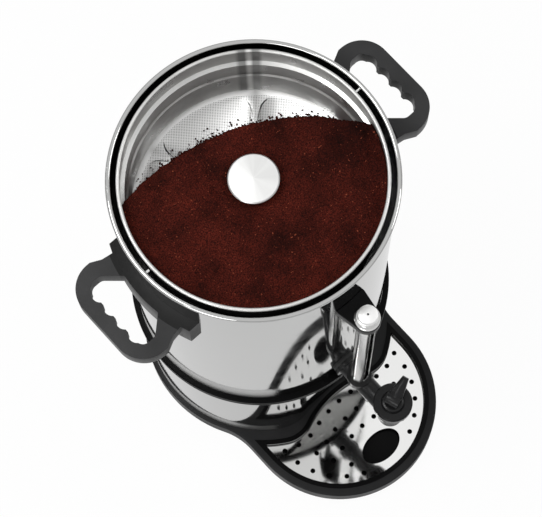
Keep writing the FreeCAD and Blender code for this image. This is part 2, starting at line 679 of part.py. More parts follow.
# Black band round the joint of vessel and pedestal
BAND_FOOT = f"{HOUSING_TOP} - band_drop"
BAND_TOP = f"{VESSEL_FOOT} + band_rise"
BAND_MIDDLE = f"({BAND_FOOT} + {BAND_TOP}) / 2"
keep("body_band", turned("band_ring", (
    ("body_radius", BAND_FOOT),
    (f"{BAND_R} - band_groove", BAND_FOOT),
    (BAND_R, f"{BAND_FOOT} + band_groove"),
    (BAND_R, f"{BAND_MIDDLE} - band_groove"),
    (f"{BAND_R} - band_groove", f"{BAND_MIDDLE} - band_groove / 2"),
    (f"{BAND_R} - band_groove", f"{BAND_MIDDLE} + band_groove / 2"),
    (BAND_R, f"{BAND_MIDDLE} + band_groove"),
    (BAND_R, f"{BAND_TOP} - band_groove"),
    (f"{BAND_R} - band_groove", BAND_TOP),
    ("body_radius", BAND_TOP),
    ("body_radius", VESSEL_FOOT),
    ("body_radius - 4", VESSEL_FOOT),
    ("body_radius - 4", DECK_TOP),
    ("body_radius", DECK_TOP),
)))

# Vessel with its rolled rim and the pump well in its floor
vessel_can = turned("vessel_can", (
    ("body_radius", VESSEL_FOOT),
    ("body_radius", f"{RIM} - bead_radius"),
    (INSIDE, f"{RIM} - bead_radius"),
    (INSIDE, FLOOR),
    ("well_radius", FLOOR),
    ("well_radius", WELL_FLOOR),
    ("0", WELL_FLOOR),
    ("0", WELL_UNDER),
    ("well_radius + floor_wall", WELL_UNDER),
    ("well_radius + floor_wall", f"{FLOOR} - floor_wall"),
    (INSIDE, f"{FLOOR} - floor_wall"),
    (INSIDE, VESSEL_FOOT),
), bead=(f"{RIM_R} - bead_radius", f"{RIM} - bead_radius", "bead_radius"))
PIN_Z = f"{RIM} - pin_drop"
pin_bore = rod("pin_bore", "pin_radius", f"2 * ({RIM_R})", f"-({RIM_R})", 0, PIN_Z, "x")
tap_bore_hole = rod("tap_opening", "shank_radius", "20", 0, "-body_radius - 10", TAP_Z, "y")
PAD_MIDDLE = f"{HANDLE_TOP} - pad_height / 2"
SCREW_BORES = [turned_about_axis(
    f"vessel_bore_{place}", rod(f"vessel_drill_{place}", "handle_screw", f"2 * ({RIM_R})", f"-({RIM_R})", 0,
                                PAD_MIDDLE, "x"), f"{side} * handle_screw_turn")
    for side, place in ((-1, "front"), (1, "rear"))]
keep("vessel", without("vessel_body", vessel_can, pin_bore, tap_bore_hole, *SCREW_BORES))

# Lid pins, riveted through the wall under the rim
for side, node in ((-1, "lid_pin_left"), (1, "lid_pin_right")):
    start = "body_radius - sheet_wall - pin_reach"
    shaft_at = start if side > 0 else "-(body_radius + rivet_sink)"
    head_at = "body_radius" if side > 0 else "-(body_radius + rivet_head)"
    shaft = rod(f"{node}_shaft", "pin_radius", "sheet_wall + pin_reach + rivet_sink", shaft_at, 0, PIN_Z,
                "x")
    head = rod(f"{node}_head", "pin_radius + rivet_head", "rivet_head", head_at, 0, PIN_Z, "x")
    curve = rod(f"{node}_wall", "body_radius", "12 * pin_radius", 0, 0, f"{PIN_Z} - 6 * pin_radius")
    keep(node, joined(f"{node}_rivet", shaft, without(f"{node}_seat", head, curve)))

# Heat plate, ring heater, thermostats and terminal block under the vessel
keep("heat_plate", rod("heat_disc", "heater_radius", "heater_wall", z=f"{WELL_UNDER} - heater_wall"))
element = doc.addObject("Part::Torus", "element_ring")
bind(element, "Radius1", "element_radius")
bind(element, "Radius2", "element_rod")
bind_place(element, z=f"{FLOOR} - floor_wall - element_rod")
keep("ring_heater", element)
HEATER_UNDER = f"{WELL_UNDER} - heater_wall"
for side, node in ((-1, "thermostat"), (1, "thermal_cutout")):
    x = f"{side} * thermostat_reach"
    can = rod(f"{node}_can", "thermostat_radius", "thermostat_height", x, 0,
              f"{HEATER_UNDER} - thermostat_height")
    tabs = block(f"{node}_tabs", "0.8", "thermostat_radius + 5", "2.4", x, 0,
                 f"{HEATER_UNDER} - thermostat_height - 2.4")
    keep(node, joined(f"{node}_body", can, tabs))
terminal_body = block("terminal_body", "1.5 * terminal_pitch", "0.75 * terminal_pitch", "terminal_height",
                      0, "terminal_reach", PLATFORM)
terminal_posts = [rod(f"terminal_post_{i}", "2.2", "4", f"{i} * terminal_pitch", "terminal_reach",
                      f"{PLATFORM} + terminal_height") for i in (-1, 0, 1)]
keep("terminal_block", joined("terminal_all", terminal_body, *terminal_posts))

# Riser tube with the pump foot and the collar that carries the basket
COLLAR_TOP = BASKET_UNDER
SLEEVE_TOP = f"{BASKET_FLOOR} + sleeve_height"
RISER_TOP = f"{SLEEVE_TOP} - riser_short"
keep("riser_tube", turned("riser", (
    ("riser_radius - riser_wall", f"{WELL_FLOOR} + 0.3"),
    ("pump_radius", f"{WELL_FLOOR} + 0.3"),
    ("pump_radius", f"{WELL_FLOOR} + 0.3 + pump_height / 3"),
    ("riser_radius + 4", f"{WELL_FLOOR} + 0.3 + pump_height"),
    ("riser_radius", f"{WELL_FLOOR} + 0.3 + pump_height"),
    ("riser_radius", f"{COLLAR_TOP} - collar_height"),
    ("collar_radius", f"{COLLAR_TOP} - collar_height"),
    ("collar_radius", COLLAR_TOP),
    ("riser_radius", COLLAR_TOP),
    ("riser_radius", RISER_TOP),
    ("riser_radius - riser_wall", RISER_TOP),
)))

# Filter basket: stepped wall with a rolled rim, floor and centre sleeve
STEP_1 = f"{BASKET_TOP} - basket_step"
STEP_2 = f"{STEP_1} - step_height"
R_UP = ROLL_R
R_MID = BASKET_R
R_LOW = f"{BASKET_R} - basket_step_in"
SLEEVE_IN = "riser_radius + riser_gap"
basket_can = turned("basket_can", (
    (f"{R_UP} + basket_wall / 2", f"{BASKET_TOP} - basket_bead"),
    (f"{R_UP} + basket_wall / 2", STEP_1),
    (R_MID, f"{STEP_1} - step_slope"),
    (R_MID, STEP_2),
    (R_LOW, f"{STEP_2} - step_slope"),
    (R_LOW, BASKET_UNDER),
    (f"{R_LOW} - basket_wall", BASKET_UNDER),
    (f"{R_LOW} - basket_wall", f"{STEP_2} - step_slope"),
    (f"{R_MID} - basket_wall", STEP_2),
    (f"{R_MID} - basket_wall", f"{STEP_1} - step_slope"),
    (f"{R_UP} - basket_wall / 2", STEP_1),
    (f"{R_UP} - basket_wall / 2", f"{BASKET_TOP} - basket_bead"),
), bead=(ROLL_R, f"{BASKET_TOP} - basket_bead", "basket_bead"))
keep("filter_basket", basket_can)
keep("basket_floor", turned("basket_disc", (
    (f"{SLEEVE_IN} + basket_wall", BASKET_UNDER),
    (f"{R_LOW} - basket_wall", BASKET_UNDER),
    (f"{R_LOW} - basket_wall", BASKET_FLOOR),
    (f"{SLEEVE_IN} + basket_wall", BASKET_FLOOR),
)))
keep("basket_sleeve", turned("sleeve_tube", (
    (SLEEVE_IN, BASKET_UNDER),
    (f"{SLEEVE_IN} + basket_wall", BASKET_UNDER),
    (f"{SLEEVE_IN} + basket_wall", SLEEVE_TOP),
    (SLEEVE_IN, SLEEVE_TOP),
)))

# Round cap: a crowned disc with a rim, and a socket that stands on the basket's sleeve
DISC_UNDER = f"{DISC_TOP} - disc_crown - 1.4"
SOCKET_IN = f"{SLEEVE_IN} + basket_wall + cap_gap"
keep("riser_cap", turned("cap_disc", (
    ("0", DISC_TOP),
    ("disc_radius - 1", f"{DISC_TOP} - disc_crown"),
    ("disc_radius", f"{DISC_TOP} - disc_crown - 1"),
    ("disc_radius", f"{DISC_TOP} - disc_skirt"),
    ("disc_radius - 1", f"{DISC_TOP} - disc_skirt"),
    ("disc_radius - 1", DISC_UNDER),
    (f"{SOCKET_IN} + 1.2", DISC_UNDER),
    (f"{SOCKET_IN} + 1.2", f"{SLEEVE_TOP} - 8"),
    (SOCKET_IN, f"{SLEEVE_TOP} - 8"),
    (SOCKET_IN, SLEEVE_TOP),
    (SLEEVE_IN, SLEEVE_TOP),
    (SLEEVE_IN, DISC_UNDER),
    ("0", DISC_UNDER),
)))

# Coffee: a heap with a steep side and loose coffee at its foot, which leaves a crescent of the floor bare
GROUNDS_FOOT = f"{BASKET_FLOOR} + grounds_gap"
GROUNDS_BORE = f"{SLEEVE_IN} + basket_wall + grounds_gap"
fill = turned("fill", (
    (GROUNDS_BORE, GROUNDS_FOOT),
    (f"{R_LOW} - basket_wall - grounds_gap", GROUNDS_FOOT),
    (f"{R_LOW} - basket_wall - grounds_gap", f"{STEP_2} - step_slope"),
    (f"{R_MID} - basket_wall - grounds_gap", STEP_2),
    (f"{R_MID} - basket_wall - grounds_gap", f"{STEP_1} - step_slope"),
    (f"{R_UP} - basket_wall / 2 - grounds_gap", STEP_1),
    (f"{R_UP} - basket_wall / 2 - grounds_gap", f"{GROUNDS_FOOT} + grounds_height"),
    (GROUNDS_BORE, f"{GROUNDS_FOOT} + grounds_height"),
))
heap = []
for name in ("grounds", "scree"):
    cone = doc.addObject("Part::Cone", f"{name}_cone")
    bind(cone, "Radius1", f"{name}_toe")
    bind(cone, "Radius2", f"{name}_toe - {name}_height / tan({name}_slope)")
    bind(cone, "Height", f"{name}_height")
    heap.append(bind_place(cone, f"{name}_x", f"{name}_y", GROUNDS_FOOT))
above_sleeve = rod("above_sleeve", f"{SOCKET_IN} + 1.2 + grounds_gap", "basket_depth",
                   z=f"{SLEEVE_TOP} - 10")
keep("coffee_grounds", without("grounds_heap", shared("grounds_in_basket", fill, joined("heap", *heap)),
                               above_sleeve))

# Handles: pad on the vessel, two arms and a grip with finger hollows
PAD_OUT = "body_radius + pad_wall"


def handle(node, turned_by):
    grip = new_body(f"{node}_grip")
    plan = new_sketch(grip, f"{node}_plan", "XY_Plane", f"{HANDLE_TOP} - handle_wall")
    polygon(plan, (
        ("body_radius - 12", "-(handle_half - 9)"),
        (f"{PAD_OUT} + 3", "-(handle_half - 5)"),
        (f"{PAD_OUT} + grip_flare", "-handle_half"),
        (HANDLE_OUT, "-handle_half"),
        (HANDLE_OUT, "handle_half"),
        (f"{PAD_OUT} + grip_flare", "handle_half"),
        (f"{PAD_OUT} + 3", "handle_half - 5"),
        ("body_radius - 12", "handle_half - 9"),
    ))
    raised(f"{node}_pad", grip, plan, "handle_wall")
    far = number(HANDLE_OUT)
    rounded(grip, f"{node}_corners", "handle_stand - pad_wall - grip_flare - corner_run", lambda edge: all(
        abs(spot.x - far) < 1e-4 for spot in edge.discretize(3)
    ) and abs(edge.tangentAt(edge.FirstParameter).z) > 0.9)
    hole = new_body(f"{node}_hole")
    hole_plan = new_sketch(hole, f"{node}_hole_plan", "XY_Plane", f"{HANDLE_TOP} - handle_wall - 1")
    bar_in = f"{HANDLE_OUT} - grip_bar - finger_depth"
    polygon(hole_plan, (
        (f"{PAD_OUT} - 3", "-hand_half_in"),
        (f"{PAD_OUT} + hole_flare", "-hand_half"),
        (bar_in, "-hand_half"),
        (bar_in, "hand_half"),
        (f"{PAD_OUT} + hole_flare", "hand_half"),
        (f"{PAD_OUT} - 3", "hand_half_in"),
    ))
    raised(f"{node}_hole_pad", hole, hole_plan, "handle_wall + 2")
    rounded(hole, f"{node}_hole_corners", f"({bar_in} - ({PAD_OUT}) - hole_flare) / 2",
            lambda edge: abs(edge.tangentAt(edge.FirstParameter).z) > 0.9)
    hollows = [rod(f"{node}_finger_{i}", "finger_radius", "handle_wall + 2",
                   f"{bar_in} + finger_depth - finger_radius", f"{i / 2} * finger_pitch",
                   f"{HANDLE_TOP} - handle_wall - 1") for i in (-3, -1, 1, 3)]
    ring = rod(f"{node}_ring", PAD_OUT, "pad_height", z=f"{HANDLE_TOP} - pad_height")
    sector = block(f"{node}_sector", "pad_wall + 14", "pad_half", "pad_height + 2",
                   "body_radius", 0, f"{HANDLE_TOP} - pad_height - 1")
    pad = shared(f"{node}_saddle", ring, sector)
    core = rod(f"{node}_core", "body_radius", "pad_height + 4", z=f"{HANDLE_TOP} - pad_height - 2")
    bores = [turned_about_axis(
        f"{node}_bore_{i}",
        rod(f"{node}_drill_{i}", "handle_screw", "9", "body_radius - 4", 0, PAD_MIDDLE, "x"),
        f"{i} * handle_screw_turn") for i in (-1, 1)]
    open_grip = without(f"{node}_open", grip, hole, *hollows)
    body = without(f"{node}_body", joined(f"{node}_solid", open_grip, pad), core, *bores)
    keep(node, turned_about_axis(f"{node}_placed", body, turned_by))
    for i, place in ((-1, "front"), (1, "rear")):
        name = f"{node}_screw_{place}"
        start = f"{INSIDE} - screw_cap"
        shaft = rod(f"{name}_shaft", "handle_screw", "sheet_wall + screw_cap + screw_grip", start, 0,
                    PAD_MIDDLE, "x")
        cap = rod(f"{name}_cap", "2 * handle_screw", "screw_cap - 0.1", start, 0, PAD_MIDDLE, "x")
        way = f"{turned_by} + {i if not turned_by else -i} * handle_screw_turn"
        keep(name, turned_about_axis(f"{name}_placed", joined(f"{name}_all", shaft, cap), way))


handle("handle_right", 0)
handle("handle_left", 180)

# Level gauge: shield with a slot, sight glass, top bracket, nut and vented cap
ARM_TOP = f"{TAP_Z} + tap_arm + 2"
GLASS_FOOT = f"{ARM_TOP} - seal_height - 1"
shield_tube = rod("shield_tube", "gauge_radius", f"{GAUGE_TOP} - ({ARM_TOP})", 0, GAUGE_Y, ARM_TOP)
shield_bore = rod("shield_bore", "gauge_radius - gauge_wall", f"{GAUGE_TOP} - ({ARM_TOP}) + 2",
                  0, GAUGE_Y, f"{ARM_TOP} - 1")
shield_slot = block("shield_slot", "gauge_slot / 2", "gauge_radius",
                    f"{GAUGE_TOP} - ({ARM_TOP}) - gauge_bracket - 20", 0, f"{GAUGE_Y} - gauge_radius",
                    f"{ARM_TOP} + 10")
keep("gauge_shield", without("shield_body", shield_tube, shield_bore, shield_slot))
glass_tube = rod("glass_tube", "glass_radius", f"{GAUGE_TOP} - ({GLASS_FOOT}) + seal_height",
                 0, GAUGE_Y, GLASS_FOOT)
glass_bore = rod("glass_bore", "glass_radius - glass_wall", f"{GAUGE_TOP} - ({GLASS_FOOT}) + 8",
                 0, GAUGE_Y, f"{GLASS_FOOT} - 2")
keep("sight_glass", without("glass_body", glass_tube, glass_bore))
NUT_TOP = f"{GAUGE_TOP} + gauge_nut_height"
BRACKET_FOOT = f"{GAUGE_TOP} - gauge_bracket"
bracket_arm = new_body("bracket_arm")
bracket_plan = new_sketch(bracket_arm, "bracket_plan", "XY_Plane", BRACKET_FOOT)
polygon(bracket_plan, (
    ("-bracket_half", "-(body_radius - 4)"),
    ("-bracket_half", "-(body_radius + 2)"),
    ("-gauge_boss", GAUGE_Y),
    ("gauge_boss", GAUGE_Y),
    ("bracket_half", "-(body_radius + 2)"),
    ("bracket_half", "-(body_radius - 4)"),
))
raised("bracket_pad", bracket_arm, bracket_plan, "gauge_bracket")
bracket_ring = rod("bracket_ring", "gauge_boss", "gauge_bracket", 0, GAUGE_Y, BRACKET_FOOT)
bracket_bore = rod("bracket_bore", "gauge_radius", "gauge_bracket + 2", 0, GAUGE_Y, f"{BRACKET_FOOT} - 1")
bracket_core = rod("bracket_core", "body_radius", "gauge_bracket + 2", z=f"{BRACKET_FOOT} - 1")
keep("gauge_bracket_top", without("bracket_body", joined("bracket_solid", bracket_arm, bracket_ring),
                                  bracket_bore, bracket_core))
nut_body = doc.addObject("Part::Cone", "nut_body")
bind(nut_body, "Radius1", "gauge_nut_radius")
bind(nut_body, "Radius2", "gauge_nut_radius - gauge_nut_taper")
bind(nut_body, "Height", "gauge_nut_height")
bind_place(nut_body, 0, GAUGE_Y, GAUGE_TOP)
nut_bore = rod("nut_bore", "glass_radius + 1", "gauge_nut_height + 2", 0, GAUGE_Y, f"{GAUGE_TOP} - 1")
keep("gauge_nut", without("nut_ring", nut_body, nut_bore))
seal_ring = rod("gauge_seal_ring", "glass_radius + 1", "seal_height", 0, GAUGE_Y, GAUGE_TOP)
seal_hole = rod("gauge_seal_hole", "glass_radius", "seal_height + 2", 0, GAUGE_Y, f"{GAUGE_TOP} - 1")
keep("gauge_seal_top", without("gauge_seal_upper", seal_ring, seal_hole))
cap_body = rod("cap_body", "gauge_cap_radius", "gauge_cap_height", 0, GAUGE_Y, NUT_TOP)
cap_vent = rod("cap_vent", "vent_radius", "gauge_cap_height + 2", 0, GAUGE_Y, f"{NUT_TOP} - 1")
keep("gauge_cap", without("gauge_cap_body", cap_body, cap_vent))

# Tap body: arm from the vessel, boss under the gauge and the upright valve body with its spout
arm = rod("arm", "tap_arm", "tap_reach - seal_wall", 0, TAP_Y, TAP_Z, "y")
boss = rod("boss", "gauge_boss", "tap_arm + 2", 0, GAUGE_Y, TAP_Z)
valve = rod("valve", "tap_body", "tap_lift + tap_drop", 0, TAP_Y, f"{TAP_Z} - tap_drop")
spout = rod("spout", "spout_radius", "spout_drop", 0, TAP_Y, f"{TAP_Z} - spout_drop")
flange = rod("flange", "seal_radius + 1", "4", 0, "-(body_radius + seal_wall + 4)", TAP_Z, "y")
arm_bore = rod("arm_bore", "tap_bore", "tap_reach + 2", 0, TAP_Y, TAP_Z, "y")
shank_seat = rod("shank_seat", "shank_radius", "8", 0, "-(body_radius + seal_wall + 8)", TAP_Z, "y")
spout_bore = rod("spout_bore", "tap_bore + 1", "spout_drop + 2", 0, TAP_Y, f"{TAP_Z} - spout_drop - 2")
valve_bore = rod("valve_bore", "chamber_radius", "tap_lift + seat_drop + 4", 0, TAP_Y, SEAT_Z)
gauge_bore = rod("gauge_bore", "0.7 * tap_bore", "tap_arm + 10", 0, GAUGE_Y, TAP_Z)
glass_seat = rod("glass_seat", "glass_radius + 1", "10", 0, GAUGE_Y, GLASS_FOOT)
keep("tap_body", without("tap_moulding", joined("tap_solid", arm, boss, valve, spout, flange),
                         arm_bore, shank_seat, spout_bore, valve_bore, gauge_bore, glass_seat))
low_ring = rod("low_seal_ring", "glass_radius + 1", "seal_height + 1", 0, GAUGE_Y, GLASS_FOOT)
low_hole = rod("low_seal_hole", "glass_radius", "seal_height + 3", 0, GAUGE_Y, f"{GLASS_FOOT} - 1")
keep("gauge_seal_bottom", without("gauge_seal_lower", low_ring, low_hole))

# Threaded shank through the vessel, with washers and a nut
SHANK_OUT = "body_radius + seal_wall + 8"
shank_rod = rod("shank_rod", "shank_radius", f"{SHANK_OUT} - ({INSIDE}) + shank_inside",
                0, f"-({SHANK_OUT})", TAP_Z, "y")
shank_bore = rod("shank_bore", "tap_bore", f"{SHANK_OUT} - ({INSIDE}) + shank_inside + 2",
                 0, f"-({SHANK_OUT}) - 1", TAP_Z, "y")
keep("tap_shank", without("shank_pipe", shank_rod, shank_bore))


def washer(name, start):
    """A flat ring on the shank, across the tap's axis, with a rear 1 mm that the vessel's wall trims."""
    disc = rod(f"{name}_disc", "seal_radius", "seal_wall + 1", 0, start, TAP_Z, "y")
    return without(f"{name}_ring", disc, rod(f"{name}_bore", "shank_radius", "seal_wall + 3", 0,
                                             f"{start} - 1", TAP_Z, "y"))


outer_wall = rod("outer_wall", "body_radius", "4 * seal_radius", 0, 0, f"{TAP_Z} - 2 * seal_radius")
inner_wall = rod("inner_wall", INSIDE, "4 * seal_radius", 0, 0, f"{TAP_Z} - 2 * seal_radius")
keep("tap_washer_outside", without("washer_out_body", washer("washer_out", "-(body_radius + seal_wall)"),
                                   outer_wall))
keep("tap_washer_inside", shared("washer_in_body", washer("washer_in", f"-({INSIDE}) - 1"), inner_wall))
nut_prism = hexagon("nut_prism", "nut_half", "nut_height", 0, f"-({INSIDE}) + seal_wall", TAP_Z, "y")
nut_hole = rod("nut_hole", "shank_radius", "nut_height + 2", 0, f"-({INSIDE}) + seal_wall - 1", TAP_Z, "y")
keep("tap_nut", without("tap_nut_body", nut_prism, nut_hole))

# Bonnet, spring, stem, seat cup and lever of the valve
STEM_BORE = "stem_radius + stem_gap"
ROOF = f"{BONNET_TOP} - 3"
bonnet = turned("bonnet", (
    ("chamber_radius", BONNET_BASE),
    ("tap_body + 2", BONNET_BASE),
    ("bonnet_radius", f"{BONNET_TOP} - 8"),
    ("bonnet_radius", f"{BONNET_TOP} - 1.5"),
    ("bonnet_radius - 1.5", BONNET_TOP),
    ("dome_radius", BONNET_TOP),
    ("dome_radius - 1.5", f"{DOME_TOP} - 0.5"),
    ("dome_radius - 3", DOME_TOP),
    (STEM_BORE, DOME_TOP),
    (STEM_BORE, ROOF),
    ("chamber_radius", ROOF),
))
bind_place(bonnet, 0, TAP_Y, 0)
keep("tap_bonnet", bonnet)

CUP_TOP = f"{SEAT_Z} + cup_height"
cup = rod("cup", "chamber_radius - cup_gap", "cup_height", 0, TAP_Y, SEAT_Z)
cup_hole = rod("cup_hole", "stem_radius", "cup_height", 0, TAP_Y, f"{SEAT_Z} + 2")
keep("seat_cup", without("seat_cup_body", cup, cup_hole))
SPRING_FOOT = f"{CUP_TOP} + valve_stroke + cup_gap"
coil = rod("coil", "chamber_radius - 1.2", f"{ROOF} - ({SPRING_FOOT})", 0, TAP_Y, SPRING_FOOT)
coil_hole = rod("coil_hole", "chamber_radius - 2.6", "tap_lift + 60", 0, TAP_Y, f"{SPRING_FOOT} - 10")
keep("valve_spring", without("valve_spring_body", coil, coil_hole))


def at_lever(name, thing):
    """Turns a piece made along +X about the tap's upright axis, into the lever's direction."""
    return turned_about_axis(name, thing, "lever_turn", TAP_Y)


stem_rod = rod("stem_rod", "stem_radius", f"{HINGE_Z} + 2.6 - ({SEAT_Z} + 2)", 0, TAP_Y, f"{SEAT_Z} + 2")
stem_eye = rod("stem_eye", "hinge_pin + stem_gap", "4 * stem_radius", 0, f"{TAP_Y} - 2 * stem_radius",
               HINGE_Z, "y")
keep("valve_stem", at_lever("valve_stem_placed", without("valve_stem_body", stem_rod, stem_eye)))

CHEEK = "lever_width / 2"
paddle = new_body("lever_paddle")
paddle_plan = new_sketch(paddle, "lever_plan", "XY_Plane", "-lever_wall / 2")
polygon(paddle_plan, (
    ("0", f"-{CHEEK}"),
    ("lever_length / 3", f"-{CHEEK}"),
    ("lever_length", "-lever_tip / 2"),
    ("lever_length", "lever_tip / 2"),
    ("lever_length / 3", CHEEK),
    ("0", CHEEK),
))
raised("lever_pad", paddle, paddle_plan, "lever_wall")
rounded(paddle, "lever_edges", "lever_wall / 5", lambda edge: edge.BoundBox.XMin > 0.5
        and abs(edge.tangentAt(edge.FirstParameter).z) < 0.1)
paddle.Placement = Placement(Vector(), Rotation(Vector(0, 1, 0), -number("lever_slope")))
bind_place(paddle, 0, TAP_Y, HINGE_Z)
hub = rod("lever_hub", "hub_radius", "lever_width", 0, f"{TAP_Y} - {CHEEK}", HINGE_Z, "y")
SLOT_HALF = "stem_radius + fork_gap"
fork_slot = block("fork_slot", "(hub_radius + stem_radius + 2) / 2", SLOT_HALF, "2 * hub_radius",
                  "(stem_radius - hub_radius) / 2", TAP_Y, f"{HINGE_Z} - 2 * hub_radius")
fork_pocket = rod("fork_pocket", "hub_pocket", f"2 * ({SLOT_HALF})", 0, f"{TAP_Y} - ({SLOT_HALF})",
                  HINGE_Z, "y")
pin_hole = rod("lever_pin_hole", "hinge_pin", "2 * lever_width", 0, f"{TAP_Y} - lever_width", HINGE_Z, "y")
lever_body = without("lever_body", joined("lever_solid", paddle, hub), fork_slot, fork_pocket,
                     pin_hole)
keep("tap_lever", at_lever("lever_placed", lever_body))
lever_pin = rod("lever_pin_rod", "hinge_pin", "lever_width", 0, f"{TAP_Y} - {CHEEK}", HINGE_Z, "y")
keep("lever_pin", at_lever("lever_pin_placed", lever_pin))

# Drip tray: a shallow pan with a lip on the platform and a ledge under the plate
tray_lip = tray_solid("tray_lip_slab", f"{TRAY_OUT} + tray_lip", PLATFORM, "lip_wall")
tray_pan = tray_solid("tray_pan", TRAY_OUT, TRAY_UNDER, "tray_depth + lip_wall / 2")
tray_mouth = tray_solid("tray_mouth", "tray_gap", PLATE_UNDER, "tray_depth")
tray_hollow = tray_solid("tray_hollow", "-tray_ledge", f"{TRAY_UNDER} + tray_wall", "tray_depth")
keep("drip_tray", without("tray_body", joined("tray_outer", tray_lip, tray_pan), tray_mouth, tray_hollow))


def rear_edge(x):
    """Where the drip plate's rear edge lies at x: hollow arc, rounded wave, then the big round."""
    big = number("body_radius + plate_side")
    corner = number("plate_corner")
    sweep = number("plate_hollow")
    centre = number(HOLLOW_Y)
    reach, span = big - corner, sweep + corner
    wave_y = (span ** 2 - reach ** 2 - centre ** 2) / (-2 * centre)
    wave_x = math.sqrt(reach ** 2 - wave_y ** 2)
    x = abs(x)
    if x < wave_x * sweep / span:
        return centre + math.sqrt(sweep ** 2 - x ** 2)
    if x < wave_x * big / reach:
        return wave_y - math.sqrt(corner ** 2 - (x - wave_x) ** 2)
    return -math.sqrt(big ** 2 - x ** 2)


def drain_holes():
    """Centres of the drain holes on one side: rows behind the oval hole, then those along the edge."""
    pitch, start, step = number("hole_pitch"), number("row_start"), number("row_pitch")
    follow, middle = number("row_follow"), rear_edge(0)
    centre_y, ring = number(f"{PLATE_Y} - edge_lead"), number("edge_ring")
    rows = []
    for i in range(6):
        angle = math.radians(i * number("edge_turn") + number("edge_start"))
        rows.append((ring * math.cos(angle), centre_y - ring * math.sin(angle)))
    for row, first, count in ((0, 0, 5), (1, 0.5, 4), (2, 0, 4), (3, 2.3, 1)):
        for i in range(count):
            x = (first + i) * pitch
            rows.append((x, middle + follow * (rear_edge(x) - middle) - start - row * step))
    return rows


# Drip plate with drain holes and an oval finger hole
plate_blank = tray_solid("plate_blank", "0", PLATE_UNDER, "plate_wall")
oval = doc.addObject("Part::Ellipse", "oval")
bind(oval, "MajorRadius", "finger_oval")
bind(oval, "MinorRadius", "finger_oval_y")
bind_place(oval, 0, f"{PLATE_Y} - finger_oval_reach", f"{PLATE_UNDER} - 1")
oval_cut = doc.addObject("Part::Extrusion", "oval_cut")
oval_cut.Base = oval
oval_cut.Dir = Vector(0, 0, 1)
oval_cut.Solid = True
bind(oval_cut, "LengthFwd", "plate_wall + 2")
drains = []
for index, (x, y) in enumerate(drain_holes()):
    for side in (1, -1) if x > 1 else (1,):
        drains.append(rod(f"drain_{index}_{'right' if side > 0 else 'left'}", "hole_radius",
                          "plate_wall + 2", side * x, y, f"{PLATE_UNDER} - 1"))
keep("drip_plate", without("plate_body", plate_blank, oval_cut, *drains))

# Rocker switch in the pedestal's right side
CASE_HALF_Y = "switch_half_y - 0.2"
CASE_HALF_Z = "switch_half_z - 0.2"
POCKET_HALF_Z = "rocker_half_z + rocker_gap + 0.6"
PIVOT_X = "body_radius - pivot_in"


def facing_x(name, half_y, half_z, start, length, z):
    """A box that runs along X from a start, centred on a height."""
    return block(name, f"({length}) / 2", half_y, f"2 * ({half_z})", f"{start} + ({length}) / 2", 0,
                 f"{z} - ({half_z})")


bezel_plate = facing_x("bezel_plate", "switch_half_y + bezel_edge", "switch_half_z + bezel_edge",
                       "body_radius - 1.5", "bezel_wall + 1.5", SWITCH_Z)
bezel_core = rod("bezel_core", "body_radius", "120", z=f"{SWITCH_Z} - 60")
bezel_skin = without("bezel_skin", bezel_plate, bezel_core)
case = facing_x("switch_box", CASE_HALF_Y, CASE_HALF_Z, "body_radius - switch_depth",
                "switch_depth + bezel_wall / 2", SWITCH_Z)
pocket = facing_x("switch_pocket", "rocker_half_y + rocker_gap", POCKET_HALF_Z,
                  f"{PIVOT_X} - 8", "40", SWITCH_Z)
pivot_bore = rod("pivot_bore", "rocker_pin + stem_gap", "2 * (rocker_half_y + rocker_gap + 1.5)", PIVOT_X,
                 "-(rocker_half_y + rocker_gap + 1.5)", SWITCH_Z, "y")
keep("switch_bezel", without("switch_bezel_body", joined("switch_solid", bezel_skin, case), pocket,
                             pivot_bore))
rocker = new_body("rocker")
rocker_side = new_sketch(rocker, "rocker_side", "XZ_Plane")
polygon(rocker_side, (
    ("-5", "-rocker_half_z + 4"),
    ("0", "-rocker_half_z"),
    ("pivot_in + rocker_stand", "-rocker_half_z"),
    ("pivot_in + rocker_stand - 1.6", "0"),
    ("pivot_in + rocker_stand", "rocker_half_z"),
    ("0", "rocker_half_z"),
    ("-5", "rocker_half_z - 4"),
))
rocker_pad = raised("rocker_pad", rocker, rocker_side, "2 * rocker_half_y")
rocker_pad.Midplane = True
bind_place(rocker, PIVOT_X, 0, SWITCH_Z)
pivots = rod("pivots", "rocker_pin", "2 * (rocker_half_y + rocker_gap + 1)", PIVOT_X,
             "-(rocker_half_y + rocker_gap + 1)", SWITCH_Z, "y")
keep("rocker_switch", joined("rocker_body", rocker, pivots))
TABS_X = "body_radius - switch_depth"
tabs = [block(f"switch_tab_{i}", "tab_reach", "tab_thick", "tab_height", f"{TABS_X} - tab_reach",
              f"{i} * tab_pitch", f"{SWITCH_Z} - tab_height / 2")
        for i in (-1, 0, 1)]
strip = block("switch_tab_strip", "strip_thick", "tab_pitch + 2", "strip_height",
              f"{TABS_X} - strip_thick", 0, f"{SWITCH_Z} - strip_height / 2")
keep("switch_terminals", joined("switch_terminals_all", strip, *tabs))

# Indicator lamps beside each other above the switch
for side, node in ((-1, "lamp_power"), (1, "lamp_ready")):
    y = f"{side} * lamp_half"
    lens = rod(f"{node}_lens", "lamp_radius", "10", "body_radius - 8", y, LAMP_Z, "x")
    head = rod(f"{node}_head", "1.3 * lamp_radius", "0.8 * lamp_radius",
               "body_radius - lamp_radius / 2.5", y, LAMP_Z, "x")
    core = rod(f"{node}_core", "body_radius", "8 * lamp_radius", z=f"{LAMP_Z} - 4 * lamp_radius")
    keep(node, joined(f"{node}_body", lens, without(f"{node}_ring", head, core)))

